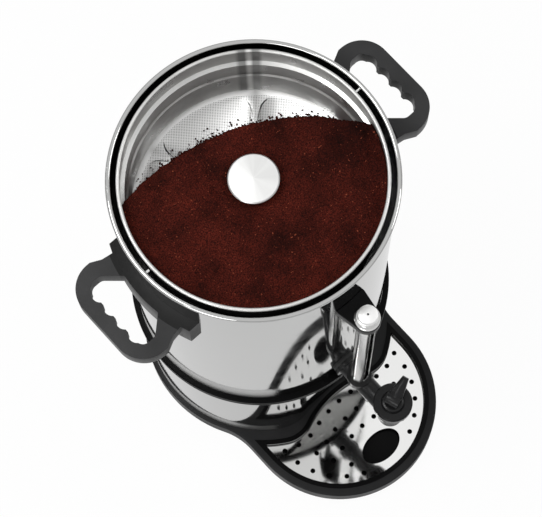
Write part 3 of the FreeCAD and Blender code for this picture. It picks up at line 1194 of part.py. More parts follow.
# Power inlet at the back: flanged socket with two screw holes, and three pins
inlet_case = block("inlet_case", "inlet_half_x - 0.2", "inlet_depth / 2", "2 * (inlet_half_z - 0.2)",
                   0, "body_radius + 2 - inlet_depth / 2", f"{INLET_Z} - (inlet_half_z - 0.2)")
inlet_plate = block("inlet_plate", "inlet_half_x + inlet_ear", "inlet_flange",
                    "2 * (inlet_half_z + inlet_flange)", 0, "body_radius",
                    f"{INLET_Z} - (inlet_half_z + inlet_flange)")
inlet_core = rod("inlet_core", "body_radius", "4 * inlet_half_z", z=f"{INLET_Z} - 2 * inlet_half_z")
inlet_front = without("inlet_front", inlet_plate, inlet_core)
INLET_WALL = "2.2"
inlet_mouth = block("inlet_mouth", f"inlet_half_x - {INLET_WALL}", "9", f"2 * (inlet_half_z - {INLET_WALL})",
                    0, "body_radius - 3", f"{INLET_Z} - (inlet_half_z - {INLET_WALL})")
inlet_screws = [rod(f"inlet_screw_bore_{i}", "1.6", "30", f"{i} * (inlet_half_x + inlet_ear / 1.8)",
                    "body_radius - 10", INLET_Z, "y") for i in (-1, 1)]
keep("power_inlet", without("inlet_body", joined("inlet_solid", inlet_front, inlet_case), inlet_mouth,
                            *inlet_screws))
for i, node in ((-1, "inlet_pin_left"), (0, "inlet_pin_earth"), (1, "inlet_pin_right")):
    drop = 0 if i else 4
    keep(node, block(f"{node}_blade", "1", "7", "5", f"{i} * inlet_pitch", "body_radius - 5",
                     f"{INLET_Z} + 1.5 - {drop}"))

# Checks: every object computed, every sub-part one valid, non-empty solid
doc.recompute()
problems = [thing.Name for thing in doc.Objects if "Invalid" in thing.State or "Error" in thing.State]
for node, thing in PARTS.items():
    shape = thing.Shape
    if shape.isNull() or not shape.isValid() or shape.Volume < 1:
        problems.append(node)
if problems:
    raise SystemExit("these did not build: " + ", ".join(problems))

os.makedirs("parts", exist_ok=True)
for node, thing in PARTS.items():
    thing.Shape.exportStep(os.path.join("parts", f"{node}.step"))
    print(f"{node}: {len(thing.Shape.Solids)} solid(s), {thing.Shape.Volume / 1000:.2f} cm3")
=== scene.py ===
import json
import math
import random

import bmesh
import bpy
from mathutils import Matrix, Vector, noise


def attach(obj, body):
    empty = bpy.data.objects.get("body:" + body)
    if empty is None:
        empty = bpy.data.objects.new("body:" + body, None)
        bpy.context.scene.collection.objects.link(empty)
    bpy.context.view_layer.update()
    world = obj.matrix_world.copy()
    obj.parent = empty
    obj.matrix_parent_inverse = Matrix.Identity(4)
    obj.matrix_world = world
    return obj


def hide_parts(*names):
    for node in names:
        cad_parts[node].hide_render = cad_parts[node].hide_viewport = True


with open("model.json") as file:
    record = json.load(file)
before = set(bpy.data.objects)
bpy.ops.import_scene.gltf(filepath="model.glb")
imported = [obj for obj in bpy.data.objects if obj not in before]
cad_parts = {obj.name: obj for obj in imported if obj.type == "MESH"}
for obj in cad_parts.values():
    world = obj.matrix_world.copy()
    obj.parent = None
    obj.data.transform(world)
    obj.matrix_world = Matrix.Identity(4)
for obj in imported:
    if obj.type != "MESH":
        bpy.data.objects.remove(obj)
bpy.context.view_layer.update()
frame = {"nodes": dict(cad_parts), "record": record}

# Coffee urn, looks: metres, the urn's axis on Z, the tap towards -Y
MM = 0.001
NODES = frame["nodes"]
RECORD = frame["record"]
bpy.context.scene.view_settings.view_transform = "Standard"


# Camera, floor and light
CAMERA_AT = (-0.3287, -0.4162, 2.1426)
CAMERA_AZIMUTH = -39.579
CAMERA_ELEVATION = 74.276
CAMERA_ROLL = -2.58
CAMERA_LENS = 133.22
CAMERA_SENSOR = 36
CAMERA_SEES_TO = 20
WHITE = (1, 1, 1, 1)


def place_camera():
    azimuth = math.radians(CAMERA_AZIMUTH)
    elevation = math.radians(CAMERA_ELEVATION)
    roll = math.radians(CAMERA_ROLL)
    back = Vector((math.sin(azimuth) * math.cos(elevation), -math.cos(azimuth) * math.cos(elevation),
                   math.sin(elevation)))
    right = Vector((0, 0, 1)).cross(back).normalized()
    up = back.cross(right)
    across = math.cos(roll) * right + math.sin(roll) * up
    upward = math.cos(roll) * up - math.sin(roll) * right
    data = bpy.data.cameras.new("camera")
    data.lens = CAMERA_LENS
    data.sensor_width = CAMERA_SENSOR
    data.clip_end = CAMERA_SEES_TO
    camera = bpy.data.objects.new("camera", data)
    turn = Matrix((across, upward, back)).transposed().to_4x4()
    camera.matrix_world = Matrix.Translation(CAMERA_AT) @ turn
    bpy.context.scene.collection.objects.link(camera)
    bpy.context.scene.camera = camera


def soft_light(name, at, aim, size, power):
    data = bpy.data.lights.new(name, "AREA")
    data.shape = "DISK"
    data.size = size
    data.energy = power
    lamp = bpy.data.objects.new(name, data)
    lamp.location = at
    lamp.rotation_euler = (Vector(aim) - Vector(at)).to_track_quat("-Z", "Y").to_euler()
    bpy.context.scene.collection.objects.link(lamp)


def node(tree, kind, inputs=None, **settings):
    """Adds a shader node, sets its properties and joins or sets its inputs."""
    new = tree.nodes.new(kind)
    for name, value in settings.items():
        setattr(new, name, value)
    for name, value in (inputs or {}).items():
        if isinstance(value, bpy.types.NodeSocket):
            tree.links.new(value, new.inputs[name])
        else:
            new.inputs[name].default_value = value
    return new


def worked(tree, operation, *values):
    """The result of a math node."""
    return node(tree, "ShaderNodeMath", dict(enumerate(values)), operation=operation).outputs[0]


def vector_worked(tree, operation, *values):
    """The vector that a vector math node gives."""
    return node(tree, "ShaderNodeVectorMath", dict(enumerate(values)), operation=operation).outputs[0]


def product(tree, first, second):
    return worked(tree, "MULTIPLY", first, second)


def seen_directly(tree):
    """1 where the surface is seen by the camera or through glass."""
    path = node(tree, "ShaderNodeLightPath").outputs
    return worked(tree, "MAXIMUM", path["Is Camera Ray"], path["Is Transmission Ray"])


def seen_in_mirrors(tree):
    return node(tree, "ShaderNodeLightPath").outputs["Is Glossy Ray"]


def chosen(tree, factor, first, second):
    return node(tree, "ShaderNodeMixShader", {0: factor, 1: first.outputs[0], 2: second.outputs[0]})


FLOOR_SIZE = 6.0
FLOOR_WHITE = 0.86
SHOWN_WHITE = 1.0
FLOOR_SHADE_KEPT = 0.05
FLOOR_IN_STEEL = 0.84


def lay_floor():
    """A white floor that keeps only a trace of its shading where it is seen."""
    mesh = bpy.data.meshes.new("floor")
    form = bmesh.new()
    bmesh.ops.create_grid(form, x_segments=1, y_segments=1, size=FLOOR_SIZE)
    form.to_mesh(mesh)
    form.free()
    floor = bpy.data.objects.new("floor", mesh)
    bpy.context.scene.collection.objects.link(floor)
    paper = bpy.data.materials.new("floor_paper")
    paper.use_nodes = True
    tree = paper.node_tree
    tree.nodes.clear()
    matt = node(tree, "ShaderNodeBsdfDiffuse", {"Color": (FLOOR_WHITE, FLOOR_WHITE, FLOOR_WHITE, 1)})
    shown = node(tree, "ShaderNodeEmission", {"Color": WHITE, "Strength": SHOWN_WHITE})
    mirrored = node(tree, "ShaderNodeEmission", {"Color": WHITE, "Strength": FLOOR_IN_STEEL})
    in_mirrors = product(tree, seen_in_mirrors(tree), 1 - FLOOR_SHADE_KEPT)
    in_view = product(tree, seen_directly(tree), 1 - FLOOR_SHADE_KEPT)
    both = chosen(tree, in_view, chosen(tree, in_mirrors, matt, mirrored), shown)
    node(tree, "ShaderNodeOutputMaterial", {"Surface": both.outputs[0]})
    mesh.materials.append(paper)


SKY_DIM = 0.45
SKY_LOW = 0.42
SKY_HIGH = 1.0
SKY_FULL_AT = 0.55
# Name, place, what it points at, width and power
LAMPS = (
    ("lamp_above", (-0.9, 0.7, 2.6), (0, 0, 0.4), 1.4, 34),
    ("lamp_left", (-2.2, -1.0, 1.5), (0, 0, 0.35), 1.2, 16),
    ("lamp_right", (1.9, -1.2, 1.9), (0, -0.1, 0.2), 1.0, 12),
)


def light_the_room():
    """An even sky, white where it is seen and darker near the horizon in reflections, and soft lamps."""
    world = bpy.data.worlds.new("room")
    bpy.context.scene.world = world
    world.use_nodes = True
    tree = world.node_tree
    tree.nodes.clear()
    way = node(tree, "ShaderNodeTexCoord").outputs["Generated"]
    height = node(tree, "ShaderNodeSeparateXYZ", {"Vector": way}).outputs["Z"]
    fading = ranged(tree, height, SKY_LOW, SKY_HIGH, 0.0, SKY_FULL_AT)
    dim, mirrored, plain = (node(tree, "ShaderNodeBackground", {"Color": WHITE, "Strength": strength})
                            for strength in (SKY_DIM, fading, SHOWN_WHITE))
    both = chosen(tree, seen_directly(tree), chosen(tree, seen_in_mirrors(tree), dim, mirrored), plain)
    node(tree, "ShaderNodeOutputWorld", {"Surface": both.outputs[0]})
    for lamp in LAMPS:
        soft_light(*lamp)


# Finishes
def blank(name, color, roughness, metallic=0.0, **sockets):
    """A new material with its plain values on the shader's own sockets."""
    material = bpy.data.materials.new(name)
    material.use_nodes = True
    tree, shader = shader_of(material)
    shader.inputs["Base Color"].default_value = (*color, 1)
    shader.inputs["Roughness"].default_value = roughness
    shader.inputs["Metallic"].default_value = metallic
    for socket, value in sockets.items():
        shader.inputs[socket.replace("_", " ")].default_value = value
    return material, tree, shader


def shader_of(material):
    return material.node_tree, material.node_tree.nodes["Principled BSDF"]


def fed_by(shader, socket):
    """The output that is already joined to a socket of the shader."""
    return shader.inputs[socket].links[0].from_socket


def own_place(tree):
    return node(tree, "ShaderNodeTexCoord").outputs["Object"]


def combined(tree, **parts):
    return node(tree, "ShaderNodeCombineXYZ", parts).outputs[0]


def spots(tree, scale, detail=2.0, stretch=(1, 1, 1), rough=0.5):
    """Noise over the object's own coordinates, with a stretch along each axis."""
    fitted = node(tree, "ShaderNodeMapping", {"Vector": own_place(tree), "Scale": stretch}).outputs[0]
    return node(tree, "ShaderNodeTexNoise", {"Vector": fitted, "Scale": scale, "Detail": detail,
                                             "Roughness": rough}).outputs["Fac"]


def ranged(tree, value, low, high, start=0.35, end=0.65):
    """Runs from low to high while the value runs from start to end."""
    return node(tree, "ShaderNodeMapRange", {"Value": value, "From Min": start, "From Max": end,
                                             "To Min": low, "To Max": high}).outputs[0]


def flat_length(tree, place):
    """The distance from the origin, heights left out."""
    flat = vector_worked(tree, "MULTIPLY", place, (1, 1, 0))
    return node(tree, "ShaderNodeVectorMath", {0: flat}, operation="LENGTH").outputs["Value"]


def around(tree):
    """Radius and angle about the urn's axis, and the height, from the object's own coordinates."""
    place = own_place(tree)
    parts = node(tree, "ShaderNodeSeparateXYZ", {"Vector": place}).outputs
    angle = worked(tree, "ARCTAN2", parts["Y"], parts["X"])
    return flat_length(tree, place), angle, parts["Z"]


def blended(tree, factor, first, second, way="MIX"):
    """A blend of two colours, or of a colour and a socket."""
    return node(tree, "ShaderNodeMix", {0: factor, 6: first, 7: second}, data_type="RGBA",
                blend_type=way).outputs[2]


def tinted(tree, shader, factor, first, second):
    """Joins a blend of two colours to the shader's base colour."""
    tree.links.new(blended(tree, factor, first, second), shader.inputs["Base Color"])


def grey(value):
    return (value, value, value * 0.99, 1)


def relief(tree, shader, height, depth, strength=1.0):
    bump = node(tree, "ShaderNodeBump", {"Height": height, "Distance": depth, "Strength": strength})
    tree.links.new(bump.outputs[0], shader.inputs["Normal"])


def two_tone(tree, value, dark, light, start=0.35, end=0.65):
    """A ramp from the dark colour at start to the light colour at end."""
    ramp = node(tree, "ShaderNodeValToRGB", {"Fac": value})
    for stop, spot, color in zip(ramp.color_ramp.elements, (start, end), (dark, light)):
        stop.position = spot
        stop.color = (*color, 1)
    return ramp.outputs[0]


def polished_steel(name, shade, roughness, ripple=0.00006, ripple_scale=14):
    """Mirror sheet: a little smeared, with the slow waves of pressed steel."""
    material, tree, shader = blank(name, grey(shade)[:3], roughness, metallic=1.0)
    smear = ranged(tree, spots(tree, scale=30, detail=3), roughness * 0.7, roughness * 1.5)
    tree.links.new(smear, shader.inputs["Roughness"])
    relief(tree, shader, spots(tree, ripple_scale, detail=1), depth=ripple)
    return material


def between(tree, value, low, high, fade):
    """1 from low to high, fading out past high."""
    above = worked(tree, "GREATER_THAN", value, low)
    return product(tree, above, ranged(tree, value, 1, 0, high, high + fade))


def roughened(tree, shader, zone, amount):
    """Adds to the shader's roughness inside a zone."""
    rough = worked(tree, "ADD", fed_by(shader, "Roughness"), product(tree, zone, amount))
    tree.links.new(rough, shader.inputs["Roughness"])


# Zones of the sheets: heights above the ground, and radii
RIM = 0.5165
# Heights of the painted shade in the gap between vessel and basket: its top, where it is darkest, and
# where it is lightest
SHADED_BELOW = RIM - 0.0045
GAP_SHADE_DARKEST_ABOVE = RIM - 0.026
GAP_SHADE_LIGHTEST_BELOW = RIM - 0.05
VESSEL_FOOT = 0.1991
VESSEL_SATIN = (0.19, VESSEL_FOOT + 0.021)
BAND_FOOT = 0.1824
# Heights over which the painted shade under the band runs on the pedestal
BAND_SHADE = (BAND_FOOT - 0.019, BAND_FOOT - 0.002)
PLATFORM_TOP = 0.0237
PEDESTAL_SATIN = (0.0, PLATFORM_TOP + 0.017)
SATIN_FADE = 0.012
VESSEL_BORE, VESSEL_WALL = 0.1233, 0.1235
BASKET_WALL = 0.1162

# Their tones and roughness
MIRROR = 0.05
VESSEL_SHADE = 0.47
PEDESTAL_SHADE = 0.39
# Lightest and darkest tones of the painted shade in the gap between vessel and basket
GAP_SHADE_LIGHTEST, GAP_SHADE_DARKEST = 0.34, 0.035
GAP_ROUGH = 0.25
SATIN = 0.36
SATIN_TONE = 0.6
# Satin tone low on the pedestal, and the darkest tone of the painted shade under the band
SATIN_TONE_LOW, BAND_SHADE_TONE = 0.5, 0.2
TAP_SIDE_FROM, TAP_SIDE_FULL = 0.8, 0.86


def satin_zone(tree, shader, zone, tone, bright):
    """Lets the mirror go satin inside a zone, away from the tap's side, and tints it there with a tone
    that on the pedestal carries painted shade under the band.
    """
    _, angle, _ = around(tree)
    facing = worked(tree, "COSINE", worked(tree, "ADD", angle, math.pi / 2))
    zone = product(tree, zone, ranged(tree, facing, 1, 0, TAP_SIDE_FROM, TAP_SIDE_FULL))
    roughened(tree, shader, zone, SATIN)
    tinted(tree, shader, zone, bright, tone)


def walled_steel(name, shade, roughness, edge, side):
    """Polished sheet with painted shade on its face in the gap between vessel and basket, which is also
    left rougher.
    """
    material = polished_steel(name, shade, roughness)
    tree, shader = shader_of(material)
    radius, _, height = around(tree)
    # Painted shade on the face in the gap between vessel and basket, darkest near the rim and lighter
    # lower down; the zone is also made rougher
    gap_shade_zone = product(tree, worked(tree, side, radius, edge), worked(tree, "LESS_THAN", height, SHADED_BELOW))
    depth = blended(tree, ranged(tree, height, 0, 1, GAP_SHADE_LIGHTEST_BELOW, GAP_SHADE_DARKEST_ABOVE), grey(GAP_SHADE_LIGHTEST),
                    grey(GAP_SHADE_DARKEST))
    tinted(tree, shader, gap_shade_zone, grey(shade), depth)
    roughened(tree, shader, gap_shade_zone, GAP_ROUGH)
    return material


def vessel_steel(name):
    """The vessel's polished sheet, satin just above the band."""
    material = walled_steel(name, VESSEL_SHADE, MIRROR, VESSEL_BORE, "LESS_THAN")
    tree, shader = shader_of(material)
    inner = fed_by(shader, "Base Color")
    radius, _, height = around(tree)
    outside = worked(tree, "GREATER_THAN", radius, VESSEL_WALL)
    satin_zone(tree, shader, product(tree, outside, between(tree, height, *VESSEL_SATIN, SATIN_FADE)),
               grey(SATIN_TONE), inner)
    return material


def pedestal_steel(name):
    """The pedestal's polished sheet, satin just above the base, with painted shade just under the band."""
    material = polished_steel(name, PEDESTAL_SHADE, MIRROR)
    tree, shader = shader_of(material)
    _, _, height = around(tree)
    low = between(tree, height, *PEDESTAL_SATIN, SATIN_FADE)
    # Painted shade on the pedestal just under the band, darkest next to the band
    high = ranged(tree, height, 0, 1, *BAND_SHADE)
    tone = blended(tree, high, grey(SATIN_TONE_LOW), grey(BAND_SHADE_TONE))
    satin_zone(tree, shader, worked(tree, "MAXIMUM", low, high), tone, grey(PEDESTAL_SHADE))
    return material


# Painted dark reflection bands on the basket's wall: their angle and reach
REFLECTION_BANDS_AT = math.radians(50.3)
REFLECTION_BANDS_REACH = 0.25
# Share of the painted reflection bands' reach and tone there
REFLECTION_BAND_TONES = ((0.0, 0.9), (0.05, 0.8), (0.13, 0.3), (0.3, 0.34), (0.42, 0.75), (1.0, 0.85))


def basket_steel(name):
    """Satin wall of the basket: turned rings, and painted dark reflection bands either side of a lighter
    upright line.
    """
    material = walled_steel(name, 0.66, 0.38, BASKET_WALL, "GREATER_THAN")
    tree, shader = shader_of(material)
    inner = fed_by(shader, "Base Color")
    _, angle, height = around(tree)
    # Painted dark reflection bands on either side of a lighter upright line, by angle about the axis
    distance = worked(tree, "ABSOLUTE", worked(tree, "SUBTRACT", angle, REFLECTION_BANDS_AT))
    bands = node(tree, "ShaderNodeValToRGB", {"Fac": product(tree, distance, 1 / REFLECTION_BANDS_REACH)})
    ramp = bands.color_ramp
    for index, (spot, value) in enumerate(REFLECTION_BAND_TONES):
        stop = ramp.elements[index] if index < 2 else ramp.elements.new(spot)
        stop.position = spot
        stop.color = grey(value)
    tone = blended(tree, 1.0, inner, bands.outputs[0], way="MULTIPLY")
    tree.links.new(tone, shader.inputs["Base Color"])
    rings = node(tree, "ShaderNodeTexWave", {"Vector": combined(tree, Z=height), "Scale": 160,
                                             "Distortion": 1.5, "Detail": 2},
                 wave_type="BANDS", bands_direction="Z")
    relief(tree, shader, rings.outputs["Fac"], depth=0.00004, strength=0.8)
    shader.inputs["Metallic"].default_value = 0.7
    return material


HOLE_PITCH = 0.0015
HOLE_INSIDE, HOLE_EDGE = 0.22, 0.33
HOLES_TURN = math.radians(39.6)
HOLES_WITHIN = 0.1055
SHEET_TONE, HOLE_TONE = 0.72, 0.12


def perforated_steel(name):
    """Bright sheet with a fine grid of holes."""
    material, tree, shader = blank(name, (0.7, 0.7, 0.69), 0.42, metallic=0.85)
    turned = node(tree, "ShaderNodeMapping", {"Vector": own_place(tree), "Rotation": (0, 0, HOLES_TURN),
                                              "Scale": (1 / HOLE_PITCH,) * 3}).outputs[0]
    cell = vector_worked(tree, "FRACTION", turned)
    reach = flat_length(tree, vector_worked(tree, "SUBTRACT", cell, (0.5, 0.5, 0)))
    hole = ranged(tree, reach, 1, 0, HOLE_INSIDE, HOLE_EDGE)
    radius, _, _ = around(tree)
    sheet = worked(tree, "LESS_THAN", radius, HOLES_WITHIN)
    tinted(tree, shader, product(tree, hole, sheet), grey(SHEET_TONE), grey(HOLE_TONE))
    relief(tree, shader, spots(tree, scale=40), depth=0.00008)
    return material


def spun_steel(name, shade, roughness):
    """Bright disc brushed in rings, with painted sheen as a soft fan of lighter and darker sectors."""
    material, tree, shader = blank(name, grey(shade)[:3], roughness, metallic=1.0)
    radius, angle, _ = around(tree)
    circle = combined(tree, X=worked(tree, "SINE", angle), Y=worked(tree, "COSINE", angle))
    # Painted sheen: a soft fan of lighter and darker sectors by angle, standing in for the brushed rings'
    # highlights
    painted_sheen = node(tree, "ShaderNodeTexNoise", {"Vector": circle, "Scale": 1.6, "Detail": 2}).outputs["Fac"]
    tinted(tree, shader, ranged(tree, painted_sheen, 0, 1), grey(shade * 0.9), grey(shade))
    across = combined(tree, X=radius)
    rings = node(tree, "ShaderNodeTexNoise", {"Vector": across, "Scale": 1500, "Detail": 2}).outputs["Fac"]
    relief(tree, shader, rings, depth=0.00003, strength=0.7)
    return material


def satin_steel(name, shade, roughness, stretch=(1, 1, 1), scale=900):
    """Brushed sheet: fine scratches along one way and a cloudy sheen."""
    material, tree, shader = blank(name, grey(shade)[:3], roughness, metallic=1.0)
    scratches = spots(tree, scale, stretch=stretch)
    blend = worked(tree, "ADD", scratches, spots(tree, scale=25))
    smear = ranged(tree, blend, roughness * 0.75, roughness * 1.3, 0.7, 1.3)
    tree.links.new(smear, shader.inputs["Roughness"])
    relief(tree, shader, scratches, depth=0.00002, strength=0.6)
    return material


def moulded_plastic(name, color, roughness, grain=0.00004, scale=1500, **sockets):
    """Moulded plastic with a fine grain and slight variation of tone."""
    material, tree, shader = blank(name, color, roughness, **sockets)
    cloud = spots(tree, scale=22, detail=3)
    darker = tuple(c * 0.8 for c in color)
    lighter = tuple(c * 1.25 for c in color)
    tree.links.new(two_tone(tree, cloud, darker, lighter), shader.inputs["Base Color"])
    tree.links.new(ranged(tree, cloud, roughness * 1.15, roughness * 0.9), shader.inputs["Roughness"])
    relief(tree, shader, spots(tree, scale), depth=grain)
    return material


PAD_EDGE = 0.1375
PAD_TONE = 0.003


def handle_plastic(name):
    """Handle plastic: satin grey-black loop on a darker pad."""
    material = moulded_plastic(name, (0.029, 0.029, 0.0295), 0.38, 0.00006, 1100, Specular_IOR_Level=0.16)
    tree, shader = shader_of(material)
    loop = fed_by(shader, "Base Color")
    radius, _, _ = around(tree)
    tinted(tree, shader, worked(tree, "LESS_THAN", radius, PAD_EDGE), loop, grey(PAD_TONE))
    return material


GRAIN_DARK, GRAIN_LIGHT = (0.006, 0.0013, 0.0009), (0.125, 0.0175, 0.0098)
PATCH_DARK, PATCH_LIGHT = (0.3, 0.3, 0.3), (1.25, 1.2, 1.2)
FLAKE = (0.3, 0.07, 0.035, 1)
FLAKE_SHARE = 0.75
# Painted shade on one side of the coffee: its tone there and its reach along X
PAINTED_SHADE_SIDE_TONE, PAINTED_SHADE_REACH = 0.5, 0.11


def ground_coffee(name):
    """Dark red-brown grains, mottled, with painted shade on one side, and a few dim flakes."""
    material, tree, shader = blank(name, (0.05, 0.008, 0.005), 0.8, Specular_IOR_Level=0.06)
    grain = spots(tree, scale=900, detail=3, rough=0.7)
    patch = spots(tree, scale=24, detail=5, rough=0.62)
    body = two_tone(tree, grain, GRAIN_DARK, GRAIN_LIGHT, 0.36, 0.7)
    shade = two_tone(tree, patch, PATCH_DARK, PATCH_LIGHT, 0.32, 0.66)
    tone = blended(tree, 1.0, body, shade, way="MULTIPLY")
    place = node(tree, "ShaderNodeSeparateXYZ", {"Vector": own_place(tree)})
    # Painted shade, darker towards +X
    side = ranged(tree, place.outputs["X"], 1.0, PAINTED_SHADE_SIDE_TONE, 0.0, PAINTED_SHADE_REACH)
    even = node(tree, "ShaderNodeCombineColor", {0: side, 1: side, 2: side}).outputs[0]
    painted_side_shade = blended(tree, 1.0, tone, even, way="MULTIPLY")
    flakes = ranged(tree, spots(tree, scale=620, detail=1, rough=0.3), 0, FLAKE_SHARE, 0.735, 0.76)
    tinted(tree, shader, flakes, painted_side_shade, FLAKE)
    relief(tree, shader, grain, depth=0.0006, strength=0.9)
    return material


def clear_glass(name):
    material, tree, shader = blank(name, (0.96, 0.98, 0.97), 0.02, Transmission_Weight=0.95, IOR=1.47)
    relief(tree, shader, spots(tree, scale=60, detail=1), depth=0.00002)
    return material


def lens_plastic(name, color):
    """Tinted clear plastic of an indicator lamp, with its moulded rays."""
    material, tree, shader = blank(name, color, 0.15, Transmission_Weight=0.35, IOR=1.49)
    rays = node(tree, "ShaderNodeTexWave", {"Vector": own_place(tree), "Scale": 260}, wave_type="BANDS",
                bands_direction="Y")
    relief(tree, shader, rays.outputs["Fac"], depth=0.00015, strength=0.6)
    return material


FINISHES = {
    "mirror_steel": polished_steel("mirror_steel_sheet", 0.55, MIRROR),
    "satin_steel": satin_steel("satin_steel_sheet", 0.6, 0.22),
    "plate_steel": polished_steel("plate_steel_sheet", 0.82, 0.045, 0.0001, 18),
    "bright_steel": satin_steel("bright_plated_steel", 0.68, 0.14),
    "black_moulding": moulded_plastic("black_moulding", (0.013, 0.013, 0.0135), 0.42,
                                      Specular_IOR_Level=0.12),
    "handle_plastic": handle_plastic("handle_plastic"),
    "tap_plastic": moulded_plastic("tap_plastic", (0.006, 0.006, 0.0063), 0.26, Specular_IOR_Level=0.22),
    "rubber": moulded_plastic("foot_rubber", (0.02, 0.02, 0.02), 0.7, 0.00008, 900),
    "glass": clear_glass("sight_glass_tube"),
    "aluminium": satin_steel("heat_plate_aluminium", 0.75, 0.35, (1, 6, 1), 500),
    "electric_plastic": moulded_plastic("electric_plastic", (0.018, 0.018, 0.019), 0.38),
    "brass": satin_steel("brass_pins", 0.6, 0.25),
    "lamp_red": lens_plastic("lamp_red_lens", (0.55, 0.02, 0.012)),
    "lamp_amber": lens_plastic("lamp_amber_lens", (0.8, 0.3, 0.02)),
    "coffee": ground_coffee("ground_coffee"),
}
OWN_FINISHES = {
    "vessel": vessel_steel("vessel_sheet"),
    "pedestal_housing": pedestal_steel("pedestal_sheet"),
    "filter_basket": basket_steel("basket_wall_sheet"),
    "riser_cap": spun_steel("cap_brushed", 0.74, 0.36),
    "gauge_cap": spun_steel("gauge_cap_brushed", 0.9, 0.36),
    "drip_tray": moulded_plastic("tray_moulding", (0.0025, 0.0025, 0.0026), 0.2, Specular_IOR_Level=0.06),
    "body_band": moulded_plastic("band_moulding", (0.0025, 0.0025, 0.0026), 0.3, Specular_IOR_Level=0.05),
    "gauge_bracket_top": moulded_plastic("bracket_moulding", (0.003, 0.003, 0.0032), 0.3,
                                         Specular_IOR_Level=0.1),
}
# Near-black moulding for painted shade along rounded edges
EDGE_PAINTED_SHADE = moulded_plastic("moulding_edge_painted_shade", (0.004, 0.004, 0.0042), 0.3, Specular_IOR_Level=0.1)


def own_finish(name, slot):
    return OWN_FINISHES.get(name, FINISHES[slot])


def dress_nodes():
    for entry in RECORD["subparts"]:
        cad = NODES[entry["node"]]
        cad.data.materials.clear()
        cad.data.materials.append(own_finish(entry["node"], entry["material_slot"]))


# New pieces
def finish_piece(name, form, body, slot, material=None, smooth=True, replaced=()):
    """Turns a bmesh into a piece that rides on a body and takes its finish from a slot."""
    mesh = bpy.data.meshes.new(name)
    form.to_mesh(mesh)
    form.free()
    if smooth:
        mesh.shade_smooth()
    mesh.materials.append(material or FINISHES[slot])
    piece = bpy.data.objects.new(name, mesh)
    bpy.context.scene.collection.objects.link(piece)
    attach(piece, body)
    if replaced:
        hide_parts(*replaced)
    return piece


def place_piece(name, form, body, slot, material=None, replaced=(), crease=35):
    """Makes a piece and keeps its creases sharp."""
    bmesh.ops.recalc_face_normals(form, faces=form.faces)
    piece = finish_piece(name, form, body, slot, material, replaced=replaced)
    piece.data.set_sharp_from_angle(angle=math.radians(crease))


def weld(form, within=1e-6):
    bmesh.ops.remove_doubles(form, verts=form.verts, dist=within)


def merged_copy(name):
    """The mesh of a CAD node with its doubled points made one."""
    form = bmesh.new()
    form.from_mesh(NODES[name].data)
    weld(form, 1e-5)
    return form


def join_rings(form, rings):
    """Faces from each ring of points to the next."""
    for first, second in zip(rings, rings[1:]):
        for i in range(len(first)):
            j = (i + 1) % len(first)
            form.faces.new((first[i], first[j], second[j], second[i]))


def rounded(form, edges, width, segments):
    """Rounds edges by a width in millimetres and gives back the new faces."""
    return bmesh.ops.bevel(form, geom=edges, offset=width * MM, offset_type="OFFSET", segments=segments,
                           profile=0.5, affect="EDGES", clamp_overlap=True, material=-1)["faces"]


SPIN_STEPS = 96


def spun(profile, centre):
    """A form turned about an upright line from a profile of radius and height in millimetres."""
    form = bmesh.new()
    verts = [form.verts.new((r * MM, 0, z * MM)) for r, z in profile]
    edges = [form.edges.new(pair) for pair in zip(verts, verts[1:])]
    bmesh.ops.spin(form, geom=verts + edges, cent=(0, 0, 0), axis=(0, 0, 1), angle=2 * math.pi,
                   steps=SPIN_STEPS, use_merge=True)
    weld(form)
    bmesh.ops.translate(form, verts=form.verts, vec=(centre[0], centre[1], 0))
    return form


# Rounded copies of CAD pieces: angles that count as flat, as part of a curve and as an edge
FLAT = math.radians(0.6)
CURVED = math.radians(1)
SHARP = math.radians(38)
SOFT_SEGMENTS = 3


def softened(name, body, width):
    """The CAD piece with its sharp edges rounded, and painted shade on the rounded edges."""
    form = merged_copy(name)
    bmesh.ops.dissolve_limit(form, angle_limit=FLAT, verts=form.verts, edges=form.edges)
    form.normal_update()
    sharp = [edge for edge in form.edges if edge.is_manifold and edge.calc_face_angle(0) > SHARP]
    curved = set()
    for edge in form.edges:
        if edge.is_manifold and CURVED < edge.calc_face_angle(0) <= SHARP:
            curved.update(face.index for face in edge.link_faces)
    for face in form.faces:
        face.smooth = face.index in curved
    for face in rounded(form, sharp, width, SOFT_SEGMENTS):
        face.smooth = True
        # The rounded edges take the painted-shade edge material
        face.material_index = 1
    slot = next(entry["material_slot"] for entry in RECORD["subparts"] if entry["node"] == name)
    piece = finish_piece(f"{name}_soft", form, body, slot, own_finish(name, slot), smooth=False,
                         replaced=[name])
    piece.data.materials.append(EDGE_PAINTED_SHADE)


# Basket floor: a pressed sheet with six sunk panels between its spokes, in millimetres
FLOOR_Z = 434.0
SHEET = 0.8
PRESSED = 0.75
PRESSED_SLOPE = 0.9
PANELS = 6
HALF_SHARE = math.radians(30)
PANEL_OUT, PANEL_IN = 104.0, 27.0
FLOOR_OUT, FLOOR_IN = 110.6, 8.4
SPOKE_HALF = 3.8
SPOKES_AT = 48.0
ROUND_OUT, ROUND_IN = 12.0, 5.0
ALONG = 10


def arc(centre_r, centre_at, radius, angles):
    """Points on an arc about a centre given by its own radius and angle."""
    x, y = centre_r * math.cos(centre_at), centre_r * math.sin(centre_at)
    return [(x + radius * math.cos(angle), y + radius * math.sin(angle)) for angle in angles]


